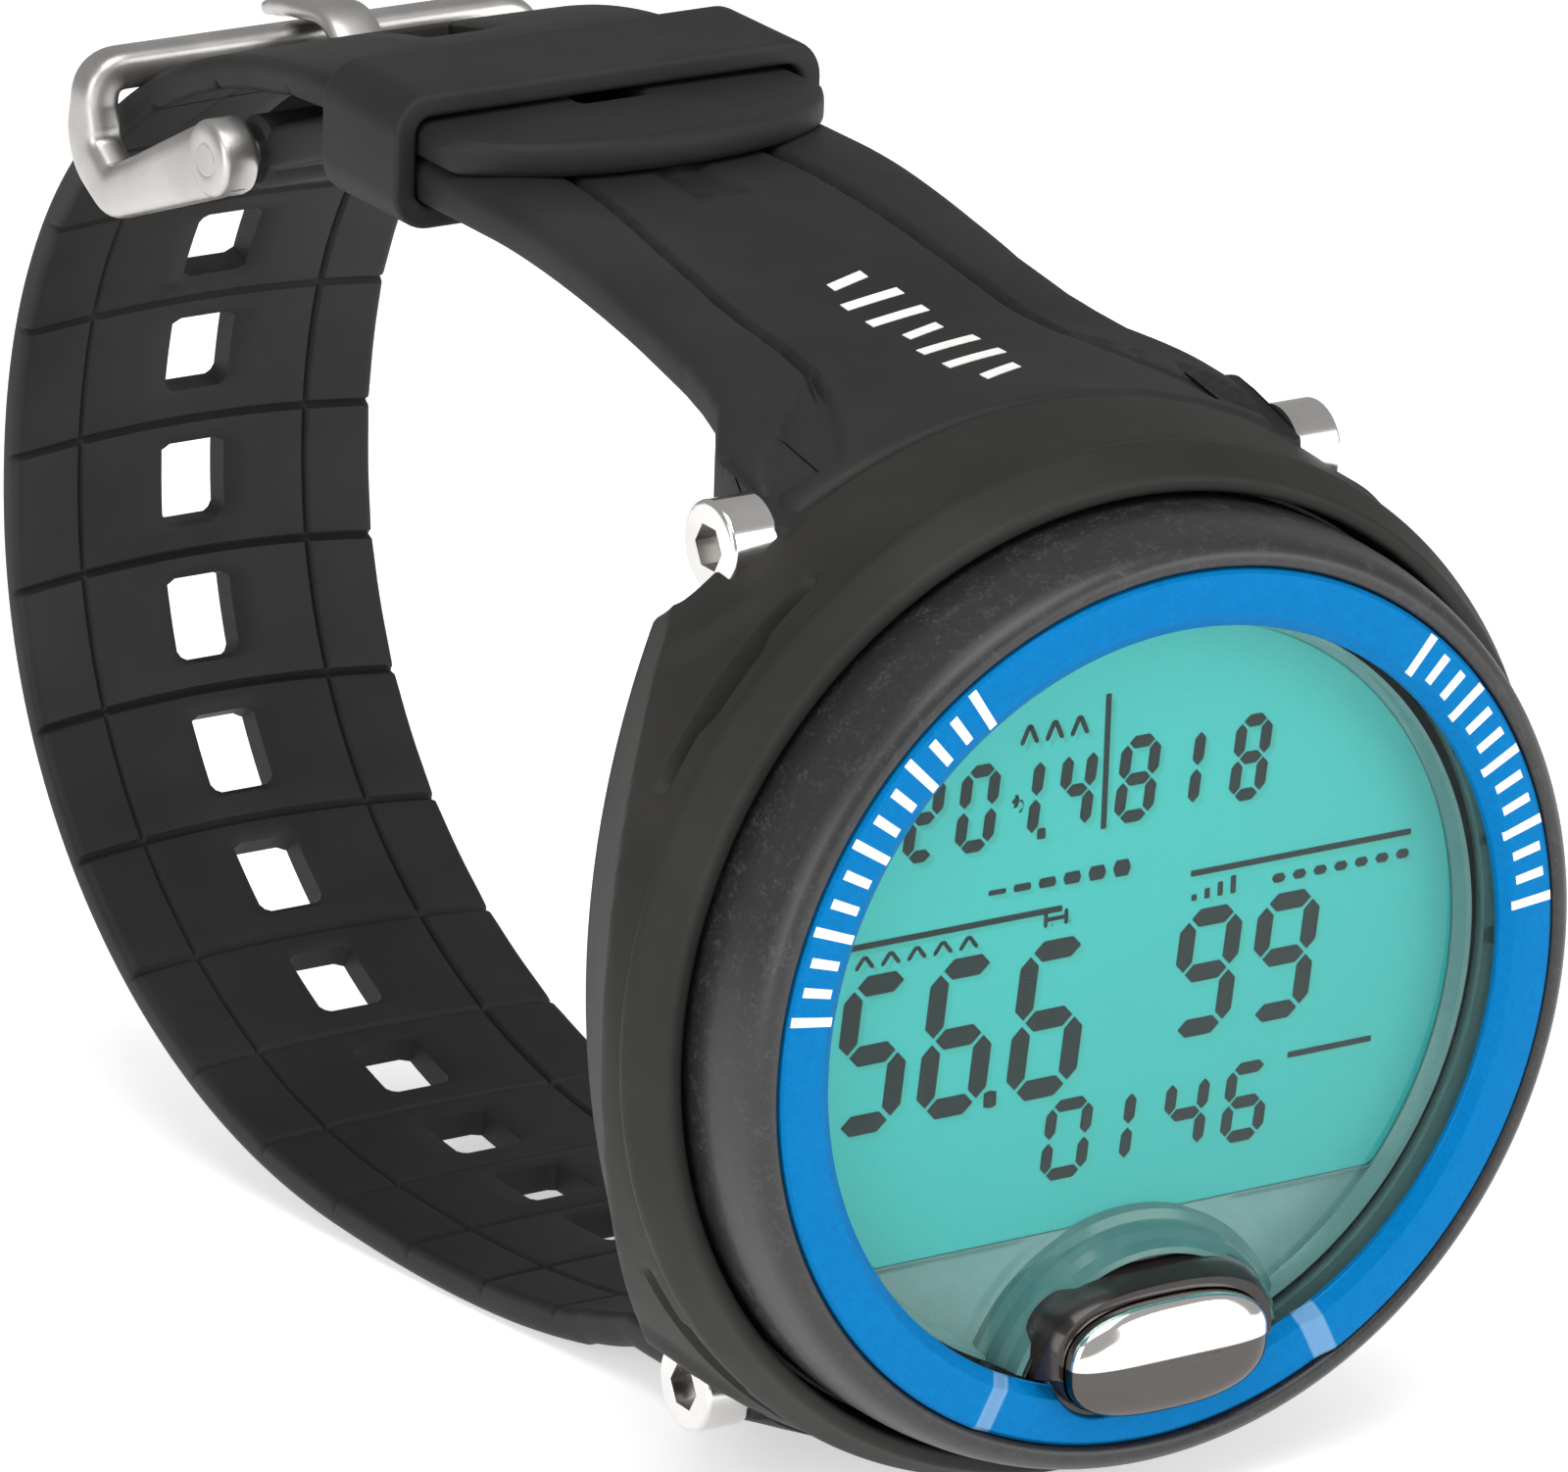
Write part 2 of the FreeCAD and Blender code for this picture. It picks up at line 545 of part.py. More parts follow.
def memory_chip():
    return on_board_front(5.0, 4.0, CHIP_THICK, 6.0, 6.0)


def quartz_crystal():
    return rod_x(0.75, 3.0, 9.0, BOARD_FRONT - 0.75, -3.0)


def dome_switch():
    gap = at(STEM_END_DEPTH) + BUTTON_TRAVEL + 0.1
    base = disc(2.2, gap + 0.35, BOARD_FRONT, 0, BUTTON_Z)
    return fused([base, disc(1.2, gap, gap + 0.4, 0, BUTTON_Z)])


def buzzer():
    return disc(1.9, LEDGE, LEDGE + 2.6, 0, -sensor_place())


def pressure_sensor():
    z = sensor_place()
    return fused([disc(SENSOR_R, LEDGE, CASE_REAR + 0.3, 0, z), disc(1.3, CASE_REAR, -1.0, 0, z)])


def sensor_cover():
    z = sensor_place()
    body = disc(SENSOR_COVER_R, -SENSOR_COVER_THICK, 0, 0, z)
    holes = [disc(0.35, -2, 1, 0, z)]
    for k in range(6):
        a = math.radians(60 * k)
        holes.append(disc(0.35, -2, 1, 1.3 * math.cos(a), z + 1.3 * math.sin(a)))
    return body.cut(fused(holes))


def wet_contacts():
    return group([disc(0.85, LEDGE, -0.05, x, z) for x, z in contact_places()])


# ---- battery -------------------------------------------------------------------------------------------
def battery_cell():
    crimp = 0.3
    front = CELL_FRONT
    return fused([disc(CELL_R - 1.2, front, front + crimp),
                  disc(CELL_R, front + crimp, front + CELL_THICK)])


def battery_contact_base():
    x, z = battery_leg_places()[0]
    plate = block(-7.0, 7.0, WELL_FLOOR, WELL_FLOOR + 0.3, z - 1.5, z + 1.5)
    spring = block(3.0, 6.0, WELL_FLOOR + 0.3, CELL_FRONT, z - 1.2, z + 1.2)
    leg = block(x - 0.6, x + 0.6, LEDGE, WELL_FLOOR + 0.1, z - 0.6, z + 0.6)
    return fused([plate, spring, leg])


def battery_contact_side():
    x, z = battery_leg_places()[1]
    leg = block(x - 0.6, x + 0.6, LEDGE, WELL_FLOOR + 0.3, z - 0.6, z + 0.6)
    arm = block(x - 0.6, x + 0.6, WELL_FLOOR, WELL_FLOOR + 0.3, z - 0.6, z + 3.0)
    return fused([leg, arm])


def battery_cover():
    flange = disc(FLANGE_R, -COVER_THICK + FIT_GAP, 0)
    plug = disc(WELL_R - RUN_GAP, -COVER_THICK - COVER_PLUG, -COVER_THICK + FIT_GAP)
    plug = plug.cut(tube(WELL_R - 0.8, WELL_R + 1, -COVER_THICK - 1.0, -COVER_THICK - 0.4))
    slot = block(COIN_SLOT_START, COIN_SLOT_START + COIN_SLOT_LENGTH, -COIN_SLOT_DEEP, 1,
                 -COIN_SLOT_W / 2, COIN_SLOT_W / 2)
    return fused([flange, plug]).cut(fused([slot, mirrored_x(slot)]))


def battery_cover_oring():
    return tube(WELL_R - 0.8, WELL_R - 0.03, -COVER_THICK - 1.0, -COVER_THICK - 0.4)


# ---- strap line ------------------------------------------------------------------------------------------
def quarter(t, power=LOOP_POWER):
    """Height of a unit superellipse at the distance t from its middle."""
    return max(0.0, 1.0 - abs(t) ** power) ** (1.0 / power)


def loop_point(angle, offset):
    """Point (y, z) of the strap's line. angle runs 0 at the bottom, 90 at the far end, 180 on top.
    offset is the distance outside the inner face."""
    a = math.radians(angle)
    reach = LOOP_REACH + offset
    tall = (LOOP_HIGH if angle > 90 else LOOP_LOW) + offset
    share = 2.0 / LOOP_POWER
    y = LOOP_MID_Y + reach * abs(math.sin(a)) ** share
    z = math.copysign(tall * abs(math.cos(a)) ** share, -math.cos(a)) + LOOP_SHIFT_Z
    return y, z


def under_z(y, offset):
    """Height of the strap's underside stretch between the case and the loop's middle."""
    t = (LOOP_MID_Y - y) / LOOP_REACH_CASE
    return -(LOOP_LOW + offset) * quarter(t) + LOOP_SHIFT_Z


UNDER_START_Y = 24.0
TAIL_Z = LOOP_HIGH + LOOP_SHIFT_Z       # the tail's inner face where it is straight


def strap_curve(offset):
    points = []
    steps = 6
    for k in range(steps):
        y = UNDER_START_Y + (LOOP_MID_Y - UNDER_START_Y) * k / steps
        points.append(V(0, y, under_z(y, offset)))
    for k in range(0, 33):
        y, z = loop_point(180.0 * k / 32, offset)
        points.append(V(0, y, z))
    curve = Part.BSplineCurve()
    curve.interpolate(points)
    return curve.toShape()


def strap_section_blank():
    inner = strap_curve(0.0)
    outer = strap_curve(STRAP_T)
    in_start = inner.Vertexes[0].Point
    in_end = inner.Vertexes[-1].Point
    out_start = outer.Vertexes[0].Point
    out_end = outer.Vertexes[-1].Point
    tip_in = V(0, TAIL_TIP_Y, TAIL_Z)
    tip_out = V(0, TAIL_TIP_Y, TAIL_Z + STRAP_T)
    wire = Part.Wire([
        inner,
        Part.makeLine(in_end, tip_in),
        Part.makeLine(tip_in, tip_out),
        Part.makeLine(tip_out, out_end),
        outer,
        Part.makeLine(out_start, in_start),
    ])
    return Part.Face(wire)


def line_table():
    """Points, tangents and lengths along the strap's inner face, from the case to the tip."""
    rows = []
    for k in range(60):
        y = UNDER_START_Y - 4.0 + (LOOP_MID_Y - UNDER_START_Y + 4.0) * k / 60
        rows.append((y, under_z(y, 0.0)))
    for k in range(0, 361):
        rows.append(loop_point(k / 2.0, 0.0))
    rows.append((TAIL_TIP_Y, TAIL_Z))
    out = []
    run = 0.0
    for k in range(len(rows)):
        y, z = rows[k]
        if k:
            run += math.hypot(y - rows[k - 1][0], z - rows[k - 1][1])
        out.append((run, y, z))
    return out


def line_at(table, s):
    for k in range(1, len(table)):
        if table[k][0] >= s:
            s0, y0, z0 = table[k - 1]
            s1, y1, z1 = table[k]
            t = (s - s0) / (s1 - s0)
            length = math.hypot(y1 - y0, z1 - z0)
            return (y0 + (y1 - y0) * t, z0 + (z1 - z0) * t, (y1 - y0) / length, (z1 - z0) / length)
    raise ValueError("past the strap's end")


def placed(shape, y, z, ty, tz):
    """Move a shape made at the origin, along Y, to a place on the strap's line."""
    angle = math.degrees(math.atan2(tz, ty))
    shape.rotate(V(0, 0, 0), V(1, 0, 0), angle)
    shape.translate(V(0, y, z))
    return shape


def between_pin_and_bar(share):
    return BUCKLE_PIN_Y + (crossbar_place()[0] - BUCKLE_PIN_Y) * share


def loop_top_z(y, offset):
    """Height of the strap's upper stretch beyond the loop's middle."""
    t = (y - LOOP_MID_Y) / (LOOP_REACH + offset)
    return (LOOP_HIGH + offset) * quarter(t) + LOOP_SHIFT_Z


def tongue_hole_run(table):
    """Length along the strap at which the tongue passes through it."""
    hole_y = between_pin_and_bar(HOLE_SHARE)
    upper = [row for row in table if row[2] > 0]
    return min(upper, key=lambda row: abs(row[1] - hole_y))[0]


def hole_runs(table):
    middle = tongue_hole_run(table)
    last = table[-1][0] - HOLE_FROM_TIP
    first = HOLE_FROM_START
    runs = []
    s = middle
    while s > first:
        runs.append(s)
        s -= HOLE_PITCH
    s = middle + HOLE_PITCH
    while s < last:
        runs.append(s)
        s += HOLE_PITCH
    return sorted(runs)


def rounded_hole(width, length, deep):
    r = 0.7
    return fused([
        block(-width / 2 + r, width / 2 - r, -length / 2, length / 2, -deep, deep),
        block(-width / 2, width / 2, -length / 2 + r, length / 2 - r, -deep, deep),
    ] + [Part.makeCylinder(r, 2 * deep, V(sx * (width / 2 - r), sy * (length / 2 - r), -deep))
         for sx in (-1, 1) for sy in (-1, 1)])


def smooth(t):
    t = min(1.0, max(0.0, t))
    return t * t * (3 - 2 * t)


def upper_top_z(y):
    """Height of the buckle strap's top along its middle."""
    high = TAIL_Z - 0.2
    return STRAP_END_R + (high - STRAP_END_R) * smooth((y - 5.0) / 28.0)


def lower_top_z(y):
    """The holed strap's underside, as a height above the case's axis."""
    return max(STRAP_END_R, -under_z(y, STRAP_T))


def end_sections(top_z, thick, last_y):
    """Cross-sections of a strap's end: (y, half width, crown radius, top, thickness)."""
    wide = CHEEK_HALF - 1.2
    strap = STRAP_W / 2.0
    rows = [(JOINT_Y + 0.25, wide, SHROUD_R), (JOINT_Y + 3.6, CHEEK_HALF - 0.2, 42.0),
            (1.0, CHEEK_HALF - 0.9, 56.0), (5.0, CHEEK_HALF - 3.9, 75.0), (10.0, strap, 110.0),
            (15.0, strap - 0.8, 180.0), (20.0, strap - 0.4, 400.0)]
    out = [(y, half, crown, top_z(y), thick) for y, half, crown in rows]
    edge = END_STEP
    return out + [(last_y, strap + edge, 900.0, top_z(last_y) + 2 * edge, thick + 3 * edge)]


def section_wire(y, half, crown, top, thick):
    drop = crown - math.sqrt(crown * crown - half * half)
    a, b, c = V(-half, y, top - drop), V(0, y, top), V(half, y, top - drop)
    down = V(0, 0, -thick)
    arc_top = Part.Arc(a, b, c).toShape()
    arc_low = Part.Arc(c + down, b + down, a + down).toShape()
    return Part.Wire([arc_top, Part.makeLine(c, c + down), arc_low, Part.makeLine(a + down, a)])


def strap_end(top_z, thick, last_y):
    """The moulded end that bridges the case's lug, with a cheek at each side."""
    rows = end_sections(top_z, thick, last_y)
    roof = Part.makeLoft([section_wire(*row) for row in rows], True, False)
    roof = roof.common(block(-CHEEK_HALF, CHEEK_HALF, -CASE_DEPTH, last_y + 1, 0, SHROUD_R + 20))
    deep_rows = [(y, half, crown, top, 14.0) for y, half, crown, top, _ in rows[:4]]
    deep = Part.makeLoft([section_wire(*row) for row in deep_rows], True, False)
    inside = LUG_HALF + FREE_GAP
    front = JOINT_Y + 0.25
    limits = block(inside, CHEEK_HALF, front, HINGE_Y + CHEEK_R, HINGE_Z, HINGE_Z + 10)
    cheek = fused([deep.common(limits), rod_x(CHEEK_R, inside, CHEEK_HALF, HINGE_Y, HINGE_Z)])
    bore = rod_x(SCREW_R + FIT_GAP + BUSH_WALL, inside - 1, CHEEK_HALF - 1.2, HINGE_Y, HINGE_Z)
    bore = bore.fuse(rod_x(SCREW_R + FIT_GAP, inside - 1, CHEEK_HALF + 1, HINGE_Y, HINGE_Z))
    cheek = cheek.cut(bore)
    room = fused([
        rod_x(LUG_R + 0.2, -inside, inside, HINGE_Y, HINGE_Z),
        block(-inside, inside, HINGE_Y - LUG_R - 0.2, HINGE_Y + LUG_R + 0.2, 10, HINGE_Z),
        rod_x(SCREW_HEAD_R + 0.3, CHEEK_HALF, CHEEK_HALF + 9, HINGE_Y, HINGE_Z),
        rod_x(SCREW_HEAD_R + 0.3, -CHEEK_HALF - 9, -CHEEK_HALF, HINGE_Y, HINGE_Z),
        block(-CHEEK_HALF - 1, CHEEK_HALF + 1, -CASE_DEPTH, CASE_REAR, 0, LUG_FLAT_Z + 0.1),
    ])
    body = fused([roof, cheek, mirrored_x(cheek)])
    return body.cut(fused([bore, mirrored_x(bore), room]))


def upper_strap():
    straight_y = 28.0
    end = strap_end(upper_top_z, STRAP_T_BUCKLE, straight_y + END_LAP)
    half = STRAP_W / 2.0
    top = TAIL_Z - 0.2
    mid = top - STRAP_T_BUCKLE / 2.0
    bend_y = KEEPER_Y + KEEPER_W / 2.0 + 1.6
    slope = V(0, BUCKLE_PIN_Y - bend_y, BUCKLE_PIN_Z - mid)
    side = V(0, -slope.z, slope.y).normalize() * (STRAP_T_BUCKLE / 2.0)
    pin = V(0, BUCKLE_PIN_Y, BUCKLE_PIN_Z)
    outline = [V(0, straight_y, mid + STRAP_T_BUCKLE / 2), V(0, bend_y, mid + STRAP_T_BUCKLE / 2),
               pin + side, pin - side, V(0, bend_y, mid - STRAP_T_BUCKLE / 2),
               V(0, straight_y, mid - STRAP_T_BUCKLE / 2)]
    flat = Part.Face(Part.makePolygon(outline + outline[:1])).extrude(V(STRAP_W, 0, 0))
    flat.translate(V(-half, 0, 0))
    barrel = rod_x(BARREL_R, -half, half, BUCKLE_PIN_Y, BUCKLE_PIN_Z)
    body = fused([end, flat, barrel])
    pin_hole = rod_x(PIN_R + FIT_GAP, -half - 1, half + 1, BUCKLE_PIN_Y, BUCKLE_PIN_Z)
    slot_half = TONGUE_W / 2.0 + FREE_GAP
    slot = block(-slot_half, slot_half, BUCKLE_PIN_Y - BARREL_R - 1.2, BUCKLE_PIN_Y + 9, 20, TAIL_Z)
    return body.cut(fused([pin_hole, slot]))


def lower_strap():
    end = mirrored_z(strap_end(lower_top_z, STRAP_T, UNDER_START_Y + END_LAP))
    half = STRAP_W / 2.0
    ribbon = strap_section_blank().extrude(V(STRAP_W, 0, 0))
    ribbon.translate(V(-half, 0, 0))
    tip_y = TAIL_TIP_Y + TIP_LENGTH
    oval = Part.Ellipse(V(0, tip_y, TAIL_Z - 5), half, TIP_LENGTH)
    tip = Part.Face(Part.Wire(oval.toShape())).extrude(V(0, 0, 12))
    above = block(-half - 1, half + 1, TAIL_TIP_Y - 1, tip_y, TAIL_Z - 5, TAIL_Z + 7)
    ribbon = ribbon.cut(above.cut(tip))
    body = fused([end, ribbon])
    table = line_table()
    cuts = []
    for s in hole_runs(table):
        cuts.append(placed(rounded_hole(HOLE_W, HOLE_L, STRAP_T * 1.6), *line_at(table, s)))
        groove_s = s + HOLE_PITCH / 2.0
        if groove_s < table[-1][0] - TIP_LENGTH:
            groove = block(-half - 1, half + 1, -GROOVE_W / 2, GROOVE_W / 2, -GROOVE_D, GROOVE_D)
            cuts.append(placed(groove, *line_at(table, groove_s)))
    return body.cut(fused(cuts))


# ---- hinge hardware --------------------------------------------------------------------------------------
def upper_hinge_tube():
    bore = rod_x(SCREW_R, -LUG_HALF - 1, LUG_HALF + 1, HINGE_Y, HINGE_Z)
    return rod_x(TUBE_R, -LUG_HALF, LUG_HALF, HINGE_Y, HINGE_Z).cut(bore)


def lower_hinge_tube():
    return mirrored_z(upper_hinge_tube())


def strap_screw():
    seat = CHEEK_HALF
    shank = rod_x(SCREW_R, seat - SCREW_LENGTH, seat, HINGE_Y, HINGE_Z)
    head = rod_x(SCREW_HEAD_R, seat, seat + SCREW_HEAD_H, HINGE_Y, HINGE_Z)
    rim = [e for e in head.Edges if abs(e.CenterOfMass.x - seat - SCREW_HEAD_H) < 1e-6]
    head = head.makeFillet(0.3, rim)
    points = []
    for k in range(7):
        a = math.radians(60 * k)
        points.append(V(seat + SCREW_HEAD_H - 1.7, HINGE_Y + SCREW_HEX_R * math.cos(a),
                        HINGE_Z + SCREW_HEX_R * math.sin(a)))
    socket = Part.Face(Part.makePolygon(points)).extrude(V(3, 0, 0))
    return fused([shank, head]).cut(socket)


def four_ways(shape):
    pair = [shape, mirrored_x(shape)]
    return group(pair + [mirrored_z(one) for one in pair])


def strap_screws():
    return four_ways(strap_screw())


def strap_bushes():
    x0 = LUG_HALF + FREE_GAP
    x1 = CHEEK_HALF - 1.2
    inner = SCREW_R + FIT_GAP
    outer = rod_x(inner + BUSH_WALL, x0, x1, HINGE_Y, HINGE_Z)
    return four_ways(outer.cut(rod_x(inner, x0 - 1, x1 + 1, HINGE_Y, HINGE_Z)))


# ---- buckle ------------------------------------------------------------------------------------------------
def capsule_chain(points, radius, x0, x1):
    """A rounded strip through (y, z) points, seen from the side, between two x planes."""
    parts = []
    for k in range(len(points) - 1):
        (y0, z0), (y1, z1) = points[k], points[k + 1]
        parts.append(rod_x(radius, x0, x1, y0, z0))
        length = math.hypot(y1 - y0, z1 - z0)
        ny, nz = -(z1 - z0) / length * radius, (y1 - y0) / length * radius
        face = Part.Face(Part.makePolygon([
            V(x0, y0 + ny, z0 + nz), V(x0, y1 + ny, z1 + nz), V(x0, y1 - ny, z1 - nz),
            V(x0, y0 - ny, z0 - nz), V(x0, y0 + ny, z0 + nz)]))
        parts.append(face.extrude(V(x1 - x0, 0, 0)))
    parts.append(rod_x(radius, x0, x1, *points[-1]))
    return fused(parts)


def crossbar_place():
    """Centre of the buckle's crossbar, clear of the strap's outer face."""
    return loop_point(BAR_ANGLE, STRAP_T + BAR_R + BAR_GAP)


def buckle_frame():
    inside = STRAP_W / 2.0 + ARM_GAP
    outside = inside + ARM_THICK
    bar_y, bar_z = crossbar_place()
    knee = (bar_y - KNEE_BACK, BUCKLE_PIN_Z - KNEE_DROP)
    heel = (bar_y, BUCKLE_PIN_Z - HEEL_DROP)
    arm = capsule_chain([(BUCKLE_PIN_Y, BUCKLE_PIN_Z), knee, heel, (bar_y, bar_z)], ARM_R,
                        inside, outside)
    eye = rod_x(ARM_R + 0.45, inside, outside, BUCKLE_PIN_Y, BUCKLE_PIN_Z)
    arm = fused([arm, eye])
    bar = rod_x(BAR_R, -outside, outside, bar_y, bar_z)
    hole = rod_x(PIN_R + RUN_GAP, -outside - 1, outside + 1, BUCKLE_PIN_Y, BUCKLE_PIN_Z)
    return fused([arm, mirrored_x(arm), bar]).cut(hole)


def buckle_tongue():
    bar_y, bar_z = crossbar_place()
    lift = BAR_R + TONGUE_R + 0.1
    low_y, high_y = between_pin_and_bar(LOW_BEND_SHARE), between_pin_and_bar(HIGH_BEND_SHARE)
    points = [(BUCKLE_PIN_Y, BUCKLE_PIN_Z), (low_y, loop_top_z(low_y, 0.0) - TONGUE_BELOW),
              (high_y, loop_top_z(high_y, STRAP_T) + TONGUE_ABOVE),
              (bar_y + 0.6, bar_z + lift), (bar_y + 3.4, bar_z + lift - 0.9)]
    half = TONGUE_W / 2.0
    body = capsule_chain(points, TONGUE_R, -half, half)
    eye = rod_x(TONGUE_EYE_R, -half, half, BUCKLE_PIN_Y, BUCKLE_PIN_Z)
    hole = rod_x(PIN_R + RUN_GAP, -half - 1, half + 1, BUCKLE_PIN_Y, BUCKLE_PIN_Z)
    return fused([body, eye]).cut(hole)


def buckle_pin():
    half = STRAP_W / 2.0 + ARM_GAP + ARM_THICK
    return rod_x(PIN_R, -half, half, BUCKLE_PIN_Y, BUCKLE_PIN_Z)


def strap_keeper():
    half = STRAP_W / 2.0 + KEEPER_GAP
    low = TAIL_Z - 0.2 - STRAP_T_BUCKLE - KEEPER_GAP
    high = TAIL_Z + STRAP_T + KEEPER_GAP
    y0, y1 = KEEPER_Y - KEEPER_W / 2.0, KEEPER_Y + KEEPER_W / 2.0
    w = KEEPER_WALL
    outer = block(-half - w, half + w, y0, y1, low - w, high + w)
    long_edges = [e for e in outer.Edges if abs(e.BoundBox.YLength - KEEPER_W) < 1e-6]
    outer = outer.makeChamfer(w * 0.6, long_edges)
    return outer.cut(block(-half, half, y0 - 1, y1 + 1, low, high))


PIECES = [
    mid_case, bezel_ring, trim_ring, crystal, crystal_gasket, case_back, case_back_gasket,
    case_back_screws, shroud_ring, button_cap, button_collar, button_spring, button_oring,
    button_clip, window_mask, lcd_glass, light_guide, lcd_frame, zebra_connector, circuit_board,
    board_screws, processor_chip, memory_chip, quartz_crystal, dome_switch, buzzer,
    pressure_sensor, sensor_cover, wet_contacts, battery_cell, battery_contact_base,
    battery_contact_side, battery_cover, battery_cover_oring, upper_strap, lower_strap,
    upper_hinge_tube, lower_hinge_tube, strap_screws, strap_bushes, buckle_frame, buckle_tongue,
    buckle_pin, strap_keeper,
]

for make in PIECES:
    save(make.__name__, make())
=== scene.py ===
import math

import bmesh
import bpy
import numpy as np
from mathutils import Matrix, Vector


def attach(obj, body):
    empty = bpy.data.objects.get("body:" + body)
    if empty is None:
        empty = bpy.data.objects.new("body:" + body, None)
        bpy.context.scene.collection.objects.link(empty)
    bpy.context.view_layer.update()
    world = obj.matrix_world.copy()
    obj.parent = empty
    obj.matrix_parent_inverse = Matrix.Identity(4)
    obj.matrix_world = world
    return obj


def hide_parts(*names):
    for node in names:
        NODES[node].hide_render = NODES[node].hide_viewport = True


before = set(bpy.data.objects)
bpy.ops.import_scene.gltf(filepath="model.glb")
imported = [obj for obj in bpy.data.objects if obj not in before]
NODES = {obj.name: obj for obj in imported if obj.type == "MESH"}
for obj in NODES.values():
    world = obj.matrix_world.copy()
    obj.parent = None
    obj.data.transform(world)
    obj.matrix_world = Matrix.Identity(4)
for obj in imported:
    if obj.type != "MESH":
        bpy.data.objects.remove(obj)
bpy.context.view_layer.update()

MM = 0.001
MERGE = 2e-6

# Case, from its back face (y 0) to the trim ring's front (y -23), all in millimetres.
FRONT = -23.0
SHOULDER = FRONT + 9.0
REAR_EDGE = -1.5
BEZEL_R = 28.8
SHROUD_R = 32.4
CASE_R, CASE_REAR_R = 29.0, 25.3
TAPER_Y = FRONT + 11.5  # where the hard case starts to narrow
WING_CENTRE = 30.0  # how far across the case the cone of each shroud side is centred
SHROUD_FOOT_Z = -32.0
LIP_Y = FRONT + 5.95
SLIT_MIDDLE, SLIT_HALF = 41.0, 17.0
SLIT_Y, SLIT_DEPTH = FRONT + 11.0, 1.5
TAPER_LEAD, WING_WALL = 2.2, 0.9
SCALLOP_R = 3.0
JOINT_Y = -7.5
TRIM_R = 26.5
WINDOW_R = 23.0
CRYSTAL_R = 25.0
CRYSTAL_FRONT = FRONT + 0.9
CRYSTAL_THICK = 2.2
LCD_FRONT = FRONT + 4.2
DISH_R = 22.3
LCD_FLAT_Z = -14.0
NOTCH_R = 9.3
NOTCH_Z = -24.8
BUTTON_Z = -20.7
BUTTON_W, BUTTON_H = 13.6, 6.9
BUTTON_FRONT = FRONT - 2.1

# Strap and its end fittings.
HINGE_Y, HINGE_Z = -4.8, 25.8
CHEEK_R = 3.35
STRAP_START_Y = -7.25
STRAP_HALF = 13.3
STRAP_TOP_Z, STRAP_RISE = 32.4, 2.7
STRAP_T = 2.2
STRAP_T_BUCKLE = 2.6
LOOP_MID_Y = 49.0  # where the loop is tallest
LOOP_REACH = 42.4  # from there to the loop's far end, inside
LOOP_REACH_CASE = 67.0  # the same for the curve towards the case
LOOP_LOW, LOOP_HIGH = 34.3, 35.8  # below and above the loop's middle, inside
LOOP_SHIFT_Z = -0.5
LOOP_POWER = 2.13
TAIL_Z = 35.3
TAIL_TIP_Y = 32.3
TIP_LENGTH = 6.4
HOLE_PITCH = 9.0
HOLE_HALF_X, HOLE_HALF_RUN = 2.3, 2.65
FIRST_HOLE, TONGUE_HOLE = 5.57, 14
HOLE_LEAD, GROOVE_LEAD = 2.1, 1.4  # how far holes and grooves lead their even places
LINE_GROOVE_X = 8.33
EVEN_FROM_Y = 20.0  # the holes' pitch is counted from here
PIN_Y, PIN_Z = 61.0, 30.2
BARREL_R = 2.3
KEEPER_Y, KEEPER_W = 45.3, 9.0
KEEPER_Z, KEEPER_CORNER_X, KEEPER_CORNER_Z = 35.0, 12.55, 1.75
BAR_Y, BAR_Z = 77.586, 31.442


# ---- shapes --------------------------------------------------------------------------------
def smooth(t):
    """3t^2 - 2t^3 between 0 and 1."""
    t = np.clip(t, 0.0, 1.0)
    return t * t * (3.0 - 2.0 * t)


def piece(name, co, faces, finish, body, replaces=(), crease=35.0):
    """A mesh object from points in millimetres and lists of four-cornered faces; doubled points
    are merged, so folded corners close, and every face is turned outwards."""
    co = np.asarray(co, float).reshape(-1, 3)
    quads = np.concatenate([np.asarray(f, int).reshape(-1, 4) for f in faces])
    mesh = bpy.data.meshes.new(name)
    mesh.vertices.add(len(co))
    mesh.vertices.foreach_set("co", (co * MM).astype(np.float32).ravel())
    mesh.loops.add(quads.size)
    mesh.loops.foreach_set("vertex_index", quads.astype(np.int32).ravel())
    mesh.polygons.add(len(quads))
    mesh.polygons.foreach_set("loop_start", np.arange(0, quads.size, 4, dtype=np.int32))
    mesh.polygons.foreach_set("loop_total", np.full(len(quads), 4, np.int32))
    mesh.update(calc_edges=True)
    mesh.validate()
    soup = bmesh.new()
    soup.from_mesh(mesh)
    bmesh.ops.remove_doubles(soup, verts=soup.verts, dist=MERGE)
    bmesh.ops.recalc_face_normals(soup, faces=soup.faces)
    soup.to_mesh(mesh)
    soup.free()
    mesh.polygons.foreach_set("use_smooth", np.ones(len(mesh.polygons), bool))
    mesh.set_sharp_from_angle(angle=math.radians(crease))
    mesh.materials.append(finish)
    made = bpy.data.objects.new(name, mesh)
    bpy.context.scene.collection.objects.link(made)
    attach(made, body)
    if replaces:
        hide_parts(*replaces)
    return made


def grid_faces(rows, columns, start=0, wrap_rows=False, wrap_columns=False, keep=None):
    """Faces between neighbouring points of a rows by columns grid, closed round where asked."""
    index = start + np.arange(rows * columns).reshape(rows, columns)
    if wrap_rows:
        index = np.vstack([index, index[:1]])
    if wrap_columns:
        index = np.hstack([index, index[:, :1]])
    quads = np.stack([index[:-1, :-1], index[1:, :-1], index[1:, 1:], index[:-1, 1:]], -1)
    return quads[keep] if keep is not None else quads.reshape(-1, 4)


